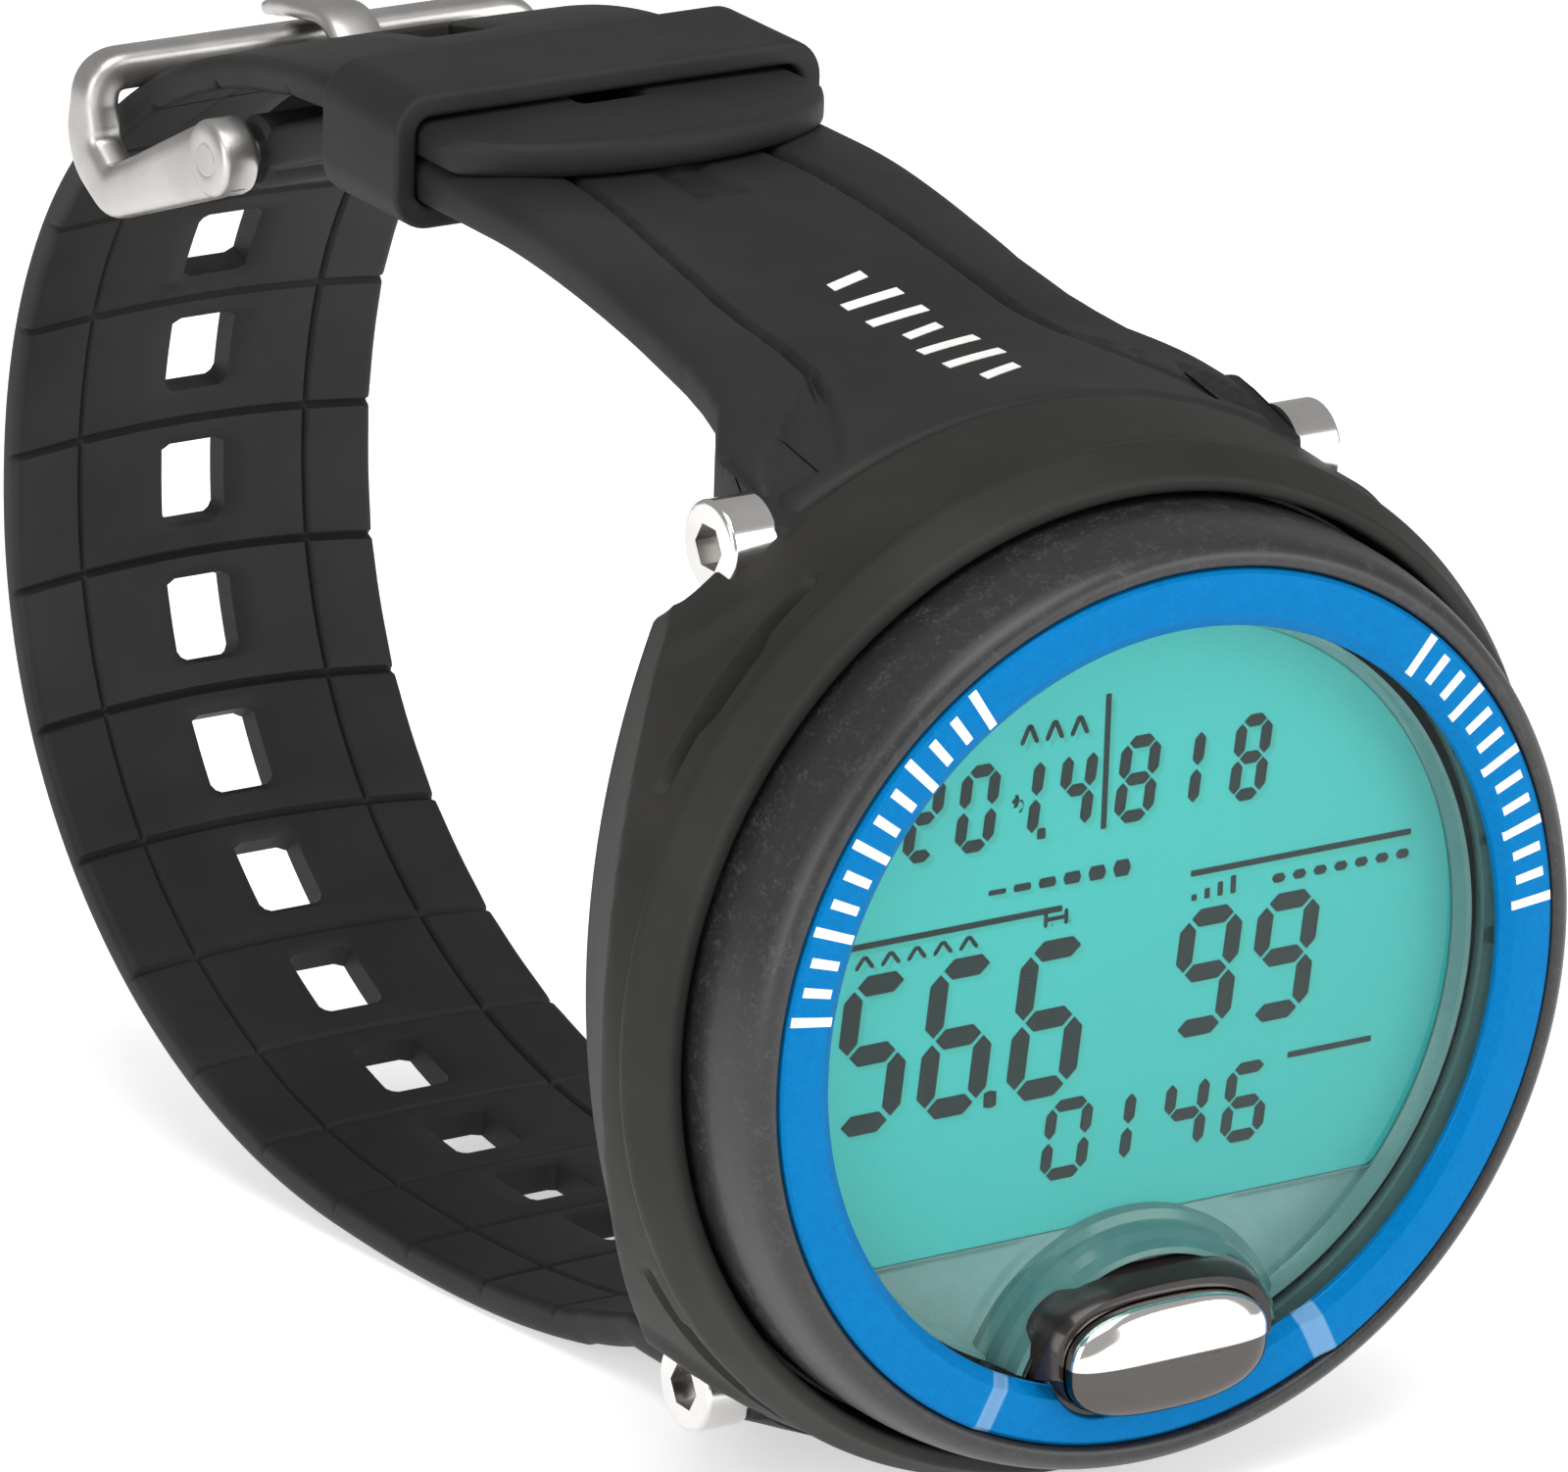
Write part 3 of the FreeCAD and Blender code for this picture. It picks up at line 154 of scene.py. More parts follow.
def joined(parts):
    """Several (points, faces) shapes as one."""
    points, faces, start = [], [], 0
    for co, quads in parts:
        co = np.asarray(co, float).reshape(-1, 3)
        points.append(co)
        faces.append(np.asarray(quads).reshape(-1, 4) + start)
        start += len(co)
    return np.concatenate(points), np.concatenate(faces)


def two_sided(outer, inner, keep):
    """A sheet with thickness: two grids of the same size, faces where keep is set, and a wall
    wherever a kept cell meets a removed one or the sheet's border."""
    rows, columns = outer.shape[:2]
    index = np.arange(rows * columns).reshape(rows, columns)
    below = index + rows * columns
    top = grid_faces(rows, columns, keep=keep)
    low = grid_faces(rows, columns, start=rows * columns, keep=keep)
    framed = np.pad(keep, 1)
    across = framed[1:, 1:-1] != framed[:-1, 1:-1]
    along = framed[1:-1, 1:] != framed[1:-1, :-1]
    wall_a = np.stack([index[:, :-1], index[:, 1:], below[:, 1:], below[:, :-1]], -1)[across]
    wall_b = np.stack([index[:-1], index[1:], below[1:], below[:-1]], -1)[along]
    points = np.concatenate([outer.reshape(-1, 3), inner.reshape(-1, 3)])
    return points, np.concatenate([top, low, wall_a, wall_b])


def round_y(r, y, angle):
    """Points at a radius and angle round the Y axis: x = r cos a, z = r sin a."""
    return np.stack([r * np.cos(angle), y, r * np.sin(angle)], -1)


def spread(columns, part, angle):
    """One entry of every column's tuple as a row, repeated for each angle."""
    return np.array([column[part] for column in columns])[None] + 0 * angle


def folded_ends(points):
    """A grid with one more row at each end, drawn together at that end's middle to close it."""
    first, last = points[:1].mean(1, keepdims=True), points[-1:].mean(1, keepdims=True)
    return np.concatenate([first + 0 * points[:1], points, last + 0 * points[-1:]])


def full_turn(steps):
    """Angles round a circle, as a column."""
    return np.linspace(0, 2 * np.pi, steps, endpoint=False)[:, None]


def turned(profile, steps=256, round_corners=0.0):
    """A closed (radius, y) profile carried round the Y axis."""
    profile = rounded_outline(profile, round_corners) if round_corners else np.array(profile)
    angle = full_turn(steps)
    r, y = profile[None, :, 0], profile[None, :, 1]
    points = round_y(r, y + 0 * angle, angle)
    return points, grid_faces(steps, len(profile), wrap_rows=True, wrap_columns=True)


def rounded_outline(corners, radius, steps=4):
    """A closed outline with each corner replaced by a quadratic curve that starts and ends the
    given length from it; a corner is (u, v) or (u, v, its own length)."""
    plain = np.array([corner[:2] for corner in corners], float)
    size = np.array([corner[2] if len(corner) > 2 else radius for corner in corners])
    before = np.roll(plain, 1, 0) - plain
    after = np.roll(plain, -1, 0) - plain
    reach_b = np.linalg.norm(before, axis=1)
    reach_a = np.linalg.norm(after, axis=1)
    size = np.minimum(size, 0.45 * np.minimum(reach_a, reach_b))
    first = plain + before / reach_b[:, None] * size[:, None]
    last = plain + after / reach_a[:, None] * size[:, None]
    t = np.linspace(0, 1, steps + 1)[None, :, None]
    curve = (1 - t) ** 2 * first[:, None] + 2 * t * (1 - t) * plain[:, None] + t * t * last[:, None]
    return curve.reshape(-1, 2)


def swept(path, section):
    """A closed section carried along a 3-D path. At each point the section's first axis is the
    given side vector and its second is tangent cross side; ends are folded shut."""
    place, side, scale = path
    tangent = np.gradient(place, axis=0)
    tangent /= np.linalg.norm(tangent, axis=1, keepdims=True)
    side = side - (side * tangent).sum(1, keepdims=True) * tangent
    side /= np.linalg.norm(side, axis=1, keepdims=True)
    other = np.cross(tangent, side)
    u, v = section[None, :, 0:1] * scale[:, None, 0:1], section[None, :, 1:2] * scale[:, None, 1:2]
    points = place[:, None] + u * side[:, None] + v * other[:, None]
    points = folded_ends(points)
    return points.reshape(-1, 3), grid_faces(len(points), len(section), wrap_columns=True)


def oval(radius_u, radius_v, count=24, power=2.0):
    """A superellipse section: |u/a|^p + |v/b|^p = 1."""
    t = np.linspace(0, 2 * np.pi, count, endpoint=False)
    c, s = np.cos(t), np.sin(t)
    return np.stack([radius_u * np.sign(c) * np.abs(c) ** (2 / power),
                     radius_v * np.sign(s) * np.abs(s) ** (2 / power)], -1)


def spun_x(profile, y, z, x_sign=1.0, steps=48):
    """A (radius, x) profile from the axis to the axis, carried round a line along X."""
    profile = np.array(profile, float)
    angle = full_turn(steps)
    r, x = profile[None, :, 0], profile[None, :, 1]
    points = np.stack([x_sign * x + 0 * angle, y + r * np.cos(angle), z + r * np.sin(angle)], -1)
    return points.reshape(-1, 3), grid_faces(steps, len(profile), wrap_rows=True)


# ---- materials -----------------------------------------------------------------------------
class Value:
    """One shader socket; operators on it add Math nodes."""

    def __init__(self, maker, socket):
        self.maker, self.socket = maker, socket

    def _math(self, operation, *others):
        node = self.maker.node("ShaderNodeMath", {"operation": operation}, [self, *others])
        return Value(self.maker, node.outputs[0])

    def __add__(self, other): return self._math("ADD", other)
    def __radd__(self, other): return self._math("ADD", other)
    def __sub__(self, other): return self._math("SUBTRACT", other)
    def __rsub__(self, other): return (self * -1.0)._math("ADD", other)
    def __mul__(self, other): return self._math("MULTIPLY", other)
    def __rmul__(self, other): return self._math("MULTIPLY", other)
    def __abs__(self): return self._math("ABSOLUTE")
    def __lt__(self, other): return self._math("LESS_THAN", other)

    def ramp(self, low, high):
        """0 at low, 1 at high, smooth between."""
        node = self.maker.node("ShaderNodeMapRange", {"interpolation_type": "SMOOTHSTEP"},
                               [self, low, high, 0.0, 1.0])
        return Value(self.maker, node.outputs[0])


class Finish:
    """A material under construction: its node tree and the few calls that build it."""

    def __init__(self, name, color, **fixed):
        self.material = bpy.data.materials.new(name)
        self.material.use_nodes = True
        self.tree = self.material.node_tree
        self.tree.nodes.clear()
        self.output = self.tree.nodes.new("ShaderNodeOutputMaterial")
        self.shader = self.tree.nodes.new("ShaderNodeBsdfPrincipled")
        self.tree.links.new(self.shader.outputs[0], self.output.inputs["Surface"])
        self.shader.inputs["Base Color"].default_value = (*color, 1.0)
        for socket, value in fixed.items():
            self.shader.inputs[socket.replace("_", " ")].default_value = value
        self.place = self.node("ShaderNodeTexCoord", {}, []).outputs["Object"]

    def node(self, kind, settings, values):
        """Add one node: settings first, then a value or link for each input (list or dict)."""
        made = self.tree.nodes.new(kind)
        for key, value in settings.items():
            setattr(made, key, value)
        pairs = values.items() if isinstance(values, dict) else enumerate(values)
        for key, value in pairs:
            socket = made.inputs[key]
            if isinstance(value, Value):
                value = value.socket
            if isinstance(value, bpy.types.NodeSocket):
                self.tree.links.new(value, socket)
            else:
                socket.default_value = value
        return made

    def scaled(self, scale):
        """Object coordinates times a scale, one number or three."""
        scale = (scale,) * 3 if np.isscalar(scale) else scale
        return self.node("ShaderNodeMapping", {}, {"Vector": self.place, "Scale": scale}).outputs[0]

    def axis(self, name):
        """One object coordinate in millimetres."""
        parts = self.node("ShaderNodeSeparateXYZ", {}, [self.place])
        return Value(self, parts.outputs[name]) * 1000.0

    def noise(self, scale, detail=3.0, roughness=0.55, stretch=1.0):
        """Noise in 0 to 1; scale is in features per metre."""
        made = self.node("ShaderNodeTexNoise", {},
                         {"Vector": self.scaled(stretch), "Scale": scale, "Detail": detail,
                          "Roughness": roughness})
        return Value(self, made.outputs["Fac"])

    def cells(self, scale, what="Distance"):
        """Distance to, or colour of, the nearest of many scattered points."""
        made = self.node("ShaderNodeTexVoronoi", {"feature": "F1"},
                         {"Vector": self.place, "Scale": scale})
        return Value(self, made.outputs[what])

    def blend(self, factor, first, second):
        """Colour from first to second by factor."""
        made = self.node("ShaderNodeMix", {"data_type": "RGBA"}, {"Factor": factor})
        for key, value in ((6, first), (7, second)):
            if isinstance(value, bpy.types.NodeSocket):
                self.tree.links.new(value, made.inputs[key])
            else:
                made.inputs[key].default_value = (*value, 1.0)
        return made.outputs[2]

    def set(self, socket, value):
        """Link a value or a socket to one input of the shader."""
        self.tree.links.new(value.socket if isinstance(value, Value) else value,
                            self.shader.inputs[socket])

    def bump(self, height, distance, strength=1.0, under=None):
        """Bump in millimetres of height, feeding Normal."""
        values = {"Height": height, "Distance": distance * MM, "Strength": strength}
        if under is not None:
            values["Normal"] = under
        made = self.node("ShaderNodeBump", {}, values)
        self.tree.links.new(made.outputs[0], self.shader.inputs["Normal"])
        return made.outputs[0]


def srgb(r, g, b):
    """A screen colour, 0 to 255, as linear light."""
    c = np.array([r, g, b]) / 255.0
    return tuple(np.where(c <= 0.04045, c / 12.92, ((c + 0.055) / 1.055) ** 2.4).tolist())


def rubber(name, color, sheen=0.12, rough=0.56):
    """Moulded rubber: fine matt grain, faint cloudy bloom, slightly smoother high spots."""
    made = Finish(name, color, Specular_IOR_Level=0.24, Sheen_Weight=sheen, Sheen_Roughness=0.5,
                  IOR=1.5)
    cloud = made.noise(55.0, 4.0)
    grain = made.noise(5200.0, 2.0, 0.6)
    pits = made.cells(2600.0)
    light = tuple(c * 1.22 + 0.002 for c in color)
    dark = tuple(c * 0.86 for c in color)
    made.set("Base Color", made.blend(cloud.ramp(0.35, 0.68), dark, light))
    made.set("Roughness", rough - 0.05 + 0.10 * made.noise(320.0, 5.0) + 0.05 * grain)
    made.bump(grain * 0.6 + pits * 0.4, 0.012, 0.55)
    return made.material


def plastic(name, color, rough=0.42, grain_height=0.010, speckle=0.15):
    """Moulded plastic with a spark-eroded grain."""
    made = Finish(name, color, Specular_IOR_Level=0.5, IOR=1.5)
    grain = made.noise(3400.0, 3.0, 0.6)
    light = tuple(c * (1 + speckle) + 0.003 for c in color)
    made.set("Base Color", made.blend(made.noise(900.0, 4.0).ramp(0.4, 0.7), color, light))
    made.set("Roughness", rough + 0.10 * (made.noise(240.0, 4.0) - 0.5) + 0.06 * (grain - 0.5))
    made.bump(grain, grain_height, 0.6)
    return made.material


def steel(name, color, rough, direction=(1.0, 1.0, 1.0), scratch=0.02, haze=0.06):
    """Steel: a fine finish along one direction, hazy patches and small scratches."""
    made = Finish(name, color, Metallic=1.0)
    lines = made.noise(900.0, 4.0, 0.65, stretch=direction)
    patches = made.noise(160.0, 3.0)
    light = tuple(min(1.0, c * 1.08) for c in color)
    dark = tuple(c * 0.88 for c in color)
    made.set("Base Color", made.blend(patches.ramp(0.3, 0.7), dark, light))
    made.set("Roughness", rough + haze * (patches - 0.5) + 0.10 * haze * (lines - 0.5))
    made.bump(lines, scratch, 0.5)
    return made.material


def button_steel_painted_reflection(name):
    """The button's mirror polish, its lower half below the middle line painted dark as a painted
    reflection of dark surroundings.
    """
    made = Finish(name, srgb(236, 232, 228), Metallic=1.0)
    # painted reflection: this line is where the painted dark lower half begins
    line = made.axis("Z") - BUTTON_Z - 0.25
    haze = made.noise(300.0, 3.0)
    # painted reflection: the dark grey painted on the lower half
    dark = made.blend(haze, srgb(86, 82, 79), srgb(93, 89, 86))
    # painted reflection: below the line the base colour switches to the painted dark grey
    made.set("Base Color", made.blend(line.ramp(-0.05, 0.05), dark, srgb(240, 237, 233)))
    made.set("Roughness", 0.09 + 0.05 * haze)
    made.bump(made.noise(900.0, 4.0), 0.001, 0.4)
    return made.material


def blasted_steel(name, color):
    """Bead-blasted steel: close dimples and soft broad reflections."""
    made = Finish(name, color, Metallic=1.0)
    dimples = made.cells(5200.0)
    cloud = made.noise(210.0, 4.0)
    made.set("Base Color", made.blend(cloud.ramp(0.3, 0.75), tuple(c * 0.86 for c in color),
                                      tuple(min(1.0, c * 1.05) for c in color)))
    made.set("Roughness", 0.34 + 0.10 * cloud)
    made.bump(dimples, 0.006, 0.6)
    return made.material


def worn_black(name):
    """The bezel's black coat: satin, with pale rubbed grain strung round the ring."""
    made = Finish(name, srgb(40, 39, 39), Specular_IOR_Level=0.5)
    fine = made.noise(3800.0, 3.0, 0.7)
    coarse = made.noise(700.0, 5.0, 0.7)
    rub = (coarse * 0.5 + fine * 0.5).ramp(0.50, 0.66)
    made.set("Base Color", made.blend(rub, srgb(34, 33, 33), srgb(58, 56, 55)))
    made.set("Roughness", 0.36 + 0.14 * rub + 0.05 * made.noise(120.0))
    made.bump(fine * 0.6 + coarse * 0.4, 0.016, 0.6)
    return made.material


def flake_blue(name):
    """Metallic blue under clear coat: each flake tilts a little and varies in brightness. A painted
    highlight, a pale band along |x| = -0.51 z below the middle, stands in for light caught on the
    ramps either side of 6 o'clock."""
    made = Finish(name, srgb(0, 108, 166), Metallic=0.25, Roughness=0.4, Coat_Weight=0.04,
                  Coat_Roughness=0.06, Coat_IOR=1.45, Specular_IOR_Level=0.05)
    flakes = made.cells(16000.0, what="Color")
    tone = made.node("ShaderNodeSeparateColor", {}, [flakes.socket])
    glint = Value(made, tone.outputs[0])
    cloud = made.noise(1500.0, 2.0)
    paint = made.blend((glint * 0.5 + cloud * 0.5).ramp(0.1, 0.9),
                       srgb(0, 100, 160), srgb(0, 114, 176))
    x, z = made.axis("X"), made.axis("Z")
    # painted highlight: a pale band along the ramps either side of 6 o'clock, where light catches
    # the slope
    from_highlight_line = abs(abs(x) + 0.51 * z)
    painted_ramp_highlight = (1.0 - 1.1 * from_highlight_line).ramp(0.0, 0.25) * (z < 0.0)
    # painted highlight: the pale band mixed into the blue paint
    made.set("Base Color", made.blend(painted_ramp_highlight * 0.45, paint, srgb(150, 186, 214)))
    made.set("Roughness", 0.36 + 0.08 * glint)
    made.bump(flakes, 0.002, 0.15)
    return made.material


def crystal_clear(name):
    """A window of mineral glass: clear, with mirror gloss that grows at grazing angles."""
    made = Finish(name, (1, 1, 1))
    tree = made.tree
    clear = made.node("ShaderNodeBsdfTransparent", {}, [(0.93, 0.985, 0.965, 1.0)])
    gloss = made.node("ShaderNodeBsdfGlossy", {}, {"Color": (1, 1, 1, 1), "Roughness": 0.02})
    edge = made.node("ShaderNodeFresnel", {}, {"IOR": 1.45})
    share = Value(made, edge.outputs[0]) * 0.18
    mix = made.node("ShaderNodeMixShader", {}, [share, clear.outputs[0], gloss.outputs[0]])
    tree.nodes.remove(made.shader)
    tree.links.new(mix.outputs[0], made.output.inputs["Surface"])
    return made.material


def display_teal(name):
    """The reflective teal layer of the display, clouded very softly, with painted light: a faint
    glow though no lamp is in it, and painted brighter towards the top and left.
    """
    made = Finish(name, srgb(76, 186, 178), Specular_IOR_Level=0.25)
    x, z = made.axis("X"), made.axis("Z")
    # painted light: the teal is painted brighter towards the top and left
    painted_top_left_light = (0.5 + 0.02 * z - 0.008 * x).ramp(0.0, 1.0)
    color = made.blend(painted_top_left_light, srgb(47, 151, 152), srgb(60, 166, 166))
    made.set("Base Color", color)
    # painted light: the display glows a little though it has no lamp
    made.set("Emission Color", color)
    made.shader.inputs["Emission Strength"].default_value = 0.22
    made.set("Roughness", 0.40 + 0.04 * made.noise(300.0))
    return made.material


def segment_ink(name, color):
    """Dark display segments with a faint mottled depth."""
    made = Finish(name, color, Specular_IOR_Level=0.2)
    made.set("Base Color", made.blend(made.noise(1200.0), color, tuple(c * 1.25 for c in color)))
    made.set("Roughness", 0.45 + 0.1 * made.noise(500.0))
    return made.material


RUBBER = rubber("strap_rubber", srgb(34, 33, 32), 0.0)
SHROUD_RUBBER = rubber("shroud_rubber", srgb(36, 35, 33), 0.0)
STRAP_INK = segment_ink("strap_marks", srgb(226, 226, 224))
CASE_PLASTIC = plastic("case_plastic", srgb(44, 44, 44), 0.44)
BEZEL_BLACK = worn_black("bezel_black")
BLUE = flake_blue("trim_blue")
CRYSTAL = crystal_clear("crystal_clear")
TEAL = display_teal("display_teal")
INK = segment_ink("segment_ink", srgb(10, 22, 26))
INK_SHADOW = segment_ink("segment_shadow", srgb(60, 158, 152))
WINDOW_GREY = plastic("window_grey", srgb(104, 138, 140), 0.24, 0.002, 0.05)
WINDOW_EDGE = plastic("window_edge", srgb(70, 112, 112), 0.16, 0.001, 0.1)
COLLAR_GLOSS = plastic("collar_black", srgb(34, 27, 25), 0.16, 0.002, 0.1)
POLISHED = steel("polished_steel", srgb(228, 226, 224), 0.085, scratch=0.0012)
BUTTON_STEEL_PAINTED_REFLECTION = button_steel_painted_reflection("button_steel_painted_reflection")
SCREW = steel("screw_steel", srgb(224, 222, 220), 0.17, (1.0, 9.0, 9.0), 0.003)
BUCKLE = blasted_steel("buckle_steel", srgb(196, 193, 190))
SPRING = steel("spring_steel", srgb(180, 180, 180), 0.25)
SEAL = rubber("seal_rubber", srgb(30, 30, 30), 0.05, 0.4)
WHITE = plastic("white_plastic", srgb(226, 226, 222), 0.35)
BOARD = plastic("board_green", srgb(20, 92, 56), 0.3)
CHIP = plastic("chip_black", srgb(30, 30, 31), 0.5)
BRASS = steel("contact_brass", srgb(222, 184, 104), 0.22)


# ---- case front ----------------------------------------------------------------------------
def side_angle(theta):
    """Angle from the nearer of 3 and 9 o'clock, 0 to 90 degrees."""
    return np.degrees(np.arctan2(np.abs(np.sin(theta)), np.abs(np.cos(theta))))


def shroud_back_edge(theta):
    """Y of the shroud's rear edge round the case: the strap joint above and below, the case
    back at the sides, and between them a shallow scallop over each strap screw's head, an arc
    of radius SCALLOP_R flattened to 0.35 of its height."""
    away = side_angle(theta)
    z = SHROUD_R * np.sin(np.radians(away))
    arc = np.sqrt(np.clip(SCALLOP_R ** 2 - (z - HINGE_Z) ** 2, 0, None))
    scallop = HINGE_Y + 0.3 - 0.35 * arc
    edge = np.where(z < HINGE_Z, scallop, JOINT_Y + 0.5)
    return edge + (REAR_EDGE - edge) * smooth((HINGE_Z - CHEEK_R - z) / 0.5)


def wing_limit(theta, y):
    """Radius of the shroud's tapered sides: a cone centred WING_CENTRE across the case, which
    narrows from TAPER_LEAD before the hard case's taper to WING_WALL outside it at the rear."""
    rear = CASE_REAR_R + WING_WALL
    start = TAPER_Y - TAPER_LEAD
    share = np.clip((y - start) / (REAR_EDGE - start), 0, 1)
    radius = SHROUD_R + WING_CENTRE + (rear - SHROUD_R) * share
    c, s = np.abs(np.cos(theta)), np.abs(np.sin(theta))
    return np.sqrt(radius ** 2 - (WING_CENTRE * s) ** 2) - WING_CENTRE * c


def hard_case_radius(y):
    """Radius of the hard case: plain, then a straight taper to its rear edge."""
    return CASE_R + (CASE_REAR_R - CASE_R) * np.clip((y - TAPER_Y) / (-2.0 - TAPER_Y), 0, 1)


def shroud():
    """Rows run round the case and columns along a section: lip, swelling outer face, rear edge,
    inside face. The outer face loses a wedge along each of four slits, and swells beside each
    screw: r = section + swell - slit."""
    steps = 720
    theta = full_turn(steps)
    rear = shroud_back_edge(theta)
    inner = BEZEL_R + 0.45
    lip = rounded_outline([(CASE_R, SHOULDER), (inner, SHOULDER - 0.8), (inner, LIP_Y, 0.35),
                           (inner + 0.95, LIP_Y, 0.35), (inner + 1.35, LIP_Y + 0.9, 0.5),
                           (SHROUD_R - 0.55, LIP_Y + 3.4, 1.0), (CASE_R, LIP_Y + 4.0)], 0.2)[5:-6]
    lip_r, lip_y = lip[None, :, 0], lip[None, :, 1]
    run = np.concatenate([np.linspace(0, 0.35, 9)[1:], np.linspace(0.37, 0.52, 17),
                          np.linspace(0.54, 0.98, 16)])[None, :]
    start_y = lip_y[:, -1:] + 0.15
    y_fixed = start_y + (REAR_EDGE - start_y) * run
    outer_y = np.minimum(y_fixed, rear - 0.5 - (1 - run) * 0.3)
    t = (outer_y - start_y) / (REAR_EDGE - start_y)
    outer_r = lip_r[:, -1:] + (SHROUD_R - lip_r[:, -1:]) * smooth(0.12 + 1.2 * t) ** 0.8
    outer_r = outer_r - 0.9 * smooth((outer_y - (REAR_EDGE - 2.6)) / 2.6) ** 2
    away = side_angle(theta)
    z = SHROUD_R * np.sin(np.radians(away))
    ring = np.hypot(outer_y - HINGE_Y, z - HINGE_Z)
    outer_r = outer_r + 0.38 * smooth(1 - np.abs(ring - 4.7) / 1.7) * smooth((HINGE_Z + 1 - z) / 3)
    bend = (away - SLIT_MIDDLE) / SLIT_HALF
    open_at = np.clip(1 - bend ** 2, 0, 1)
    slit_y = SLIT_Y + 0.5 * bend ** 2
    across = np.abs(outer_y - slit_y) / (0.10 + 0.42 * open_at)
    outer_r = outer_r - SLIT_DEPTH * np.sqrt(open_at) * np.clip(1 - across, 0, 1) ** 0.8
    tapered = wing_limit(theta, outer_y)
    outer_r = np.minimum(outer_r, np.maximum(tapered, hard_case_radius(outer_y) + 0.5))
    rear_r = outer_r[:, -1:]
    inner_r = hard_case_radius(rear) + 0.08
    plain_r = CASE_R + 0.08 + 0 * theta
    tail_r = np.concatenate([rear_r - 0.12, rear_r - 0.45, inner_r, plain_r, plain_r], 1)
    tail_r[:, :2] = np.maximum(tail_r[:, :2], inner_r + 0.1)
    tail_y = np.concatenate([rear - 0.12, rear, rear, TAPER_Y + 0 * theta,
                             SHOULDER + 0 * theta], 1)
    ones = np.ones((steps, 1))
    r = np.concatenate([lip_r * ones, outer_r, tail_r], 1)
    y = np.concatenate([lip_y * ones, outer_y, tail_y], 1)
    points = round_y(r, y, theta)
    points[..., 2] = np.maximum(points[..., 2], SHROUD_FOOT_Z)
    faces = grid_faces(steps, r.shape[1], wrap_rows=True, wrap_columns=True)
    return piece("shroud", points, [faces], SHROUD_RUBBER, "case",
                 ["shroud_ring"], 40)


def bezel():
    """A turned ring: flat land round the trim ring, a rolled shoulder, a slightly conical side."""
    profile = [(TRIM_R + 0.06, CRYSTAL_FRONT), (TRIM_R + 0.06, FRONT + 0.25),
               (TRIM_R + 0.35, FRONT + 0.02), (BEZEL_R - 1.45, FRONT + 0.04),
               (BEZEL_R - 0.95, FRONT + 0.42), (BEZEL_R - 0.62, FRONT + 1.1),
               (BEZEL_R - 0.30, FRONT + 2.4), (BEZEL_R - 0.08, FRONT + 4.0),
               (BEZEL_R, FRONT + 5.8), (BEZEL_R, SHOULDER - 0.1), (CRYSTAL_R + 0.6, SHOULDER - 0.1),
               (CRYSTAL_R + 0.2, CRYSTAL_FRONT)]
    co, faces = turned(profile, 320, 0.3)
    return piece("bezel", co, [faces], BEZEL_BLACK, "case", ["bezel_ring"], 50)


def in_capsule(x, z, width, height):
    """Distance outside a level capsule centred on the button, negative inside."""
    half = (width - height) / 2.0
    return np.hypot(np.maximum(np.abs(x) - half, 0), z - BUTTON_Z) - height / 2.0


def window_edge(theta, plain, gap):
    """Radius of the trim ring's inner edge: the plain circle, pushed out along each ray to the
    farthest place inside the button's outline grown by a gap."""
    r = np.linspace(20.0, TRIM_R - 0.3, 420)[None, :]
    inside = in_capsule(r * np.cos(theta), r * np.sin(theta), BUTTON_W + 2 * gap,
                        BUTTON_H + 2 * gap) < 0
    far = np.where(inside, r, 0).max(1, keepdims=True)
    return np.maximum(plain, np.where(np.sin(theta) < 0, far, 0))


def trim():
    """A ring over (angle, section). Its front sinks 0.42 between two short ramps either side of
    6 o'clock, and its inner edge is a bevel that steps out round the button."""
    steps = 1080
    theta = full_turn(steps)
    from_six = np.abs(np.degrees(np.arctan2(np.cos(theta), -np.sin(theta))))
    ramp_end, ramp_run = 29.0, 3.6
    sink = 0.42 * smooth((ramp_end - from_six) / ramp_run) * (np.sin(theta) < 0)
    bevel_in = window_edge(theta, WINDOW_R, 0.16)
    bevel_out = np.maximum(window_edge(theta, WINDOW_R, 0.45), WINDOW_R + 0.75)
    bevel_out = np.minimum(bevel_out, TRIM_R - 0.5)
    front = FRONT + sink
    columns = [(bevel_in, CRYSTAL_FRONT + 0 * theta), (bevel_in, front + 0.62),
               (bevel_in + 0.06, front + 0.5), (bevel_out - 0.1, front + 0.06),
               (bevel_out, front + 0.0), (bevel_out + 0.12, front - 0.02),
               (TRIM_R - 0.42 + 0 * theta, front - 0.02), (TRIM_R - 0.26 + 0 * theta, front),
               (TRIM_R - 0.06 + 0 * theta, front + 0.16), (TRIM_R + 0 * theta, front + 0.34),
               (TRIM_R + 0 * theta, CRYSTAL_FRONT + 0 * theta)]
    r, y = (np.concatenate(part, 1) for part in zip(*columns))
    points = round_y(r, y, theta)
    faces = grid_faces(steps, len(columns), wrap_rows=True, wrap_columns=True)
    return piece("trim", points, [faces], BLUE, "case", ["trim_ring"], 14)


def notch_reach(theta, plain, radius):
    """Radius at which a ray from the centre leaves the window: the plain circle, or the near
    side of the notch circle below it."""
    down = -np.sin(theta)
    across = np.cos(theta)
    under = radius ** 2 - (NOTCH_Z * across) ** 2
    near = -NOTCH_Z * down - np.sqrt(np.clip(under, 0, None))
    return np.where((under > 0) & (down > 0), near, plain)


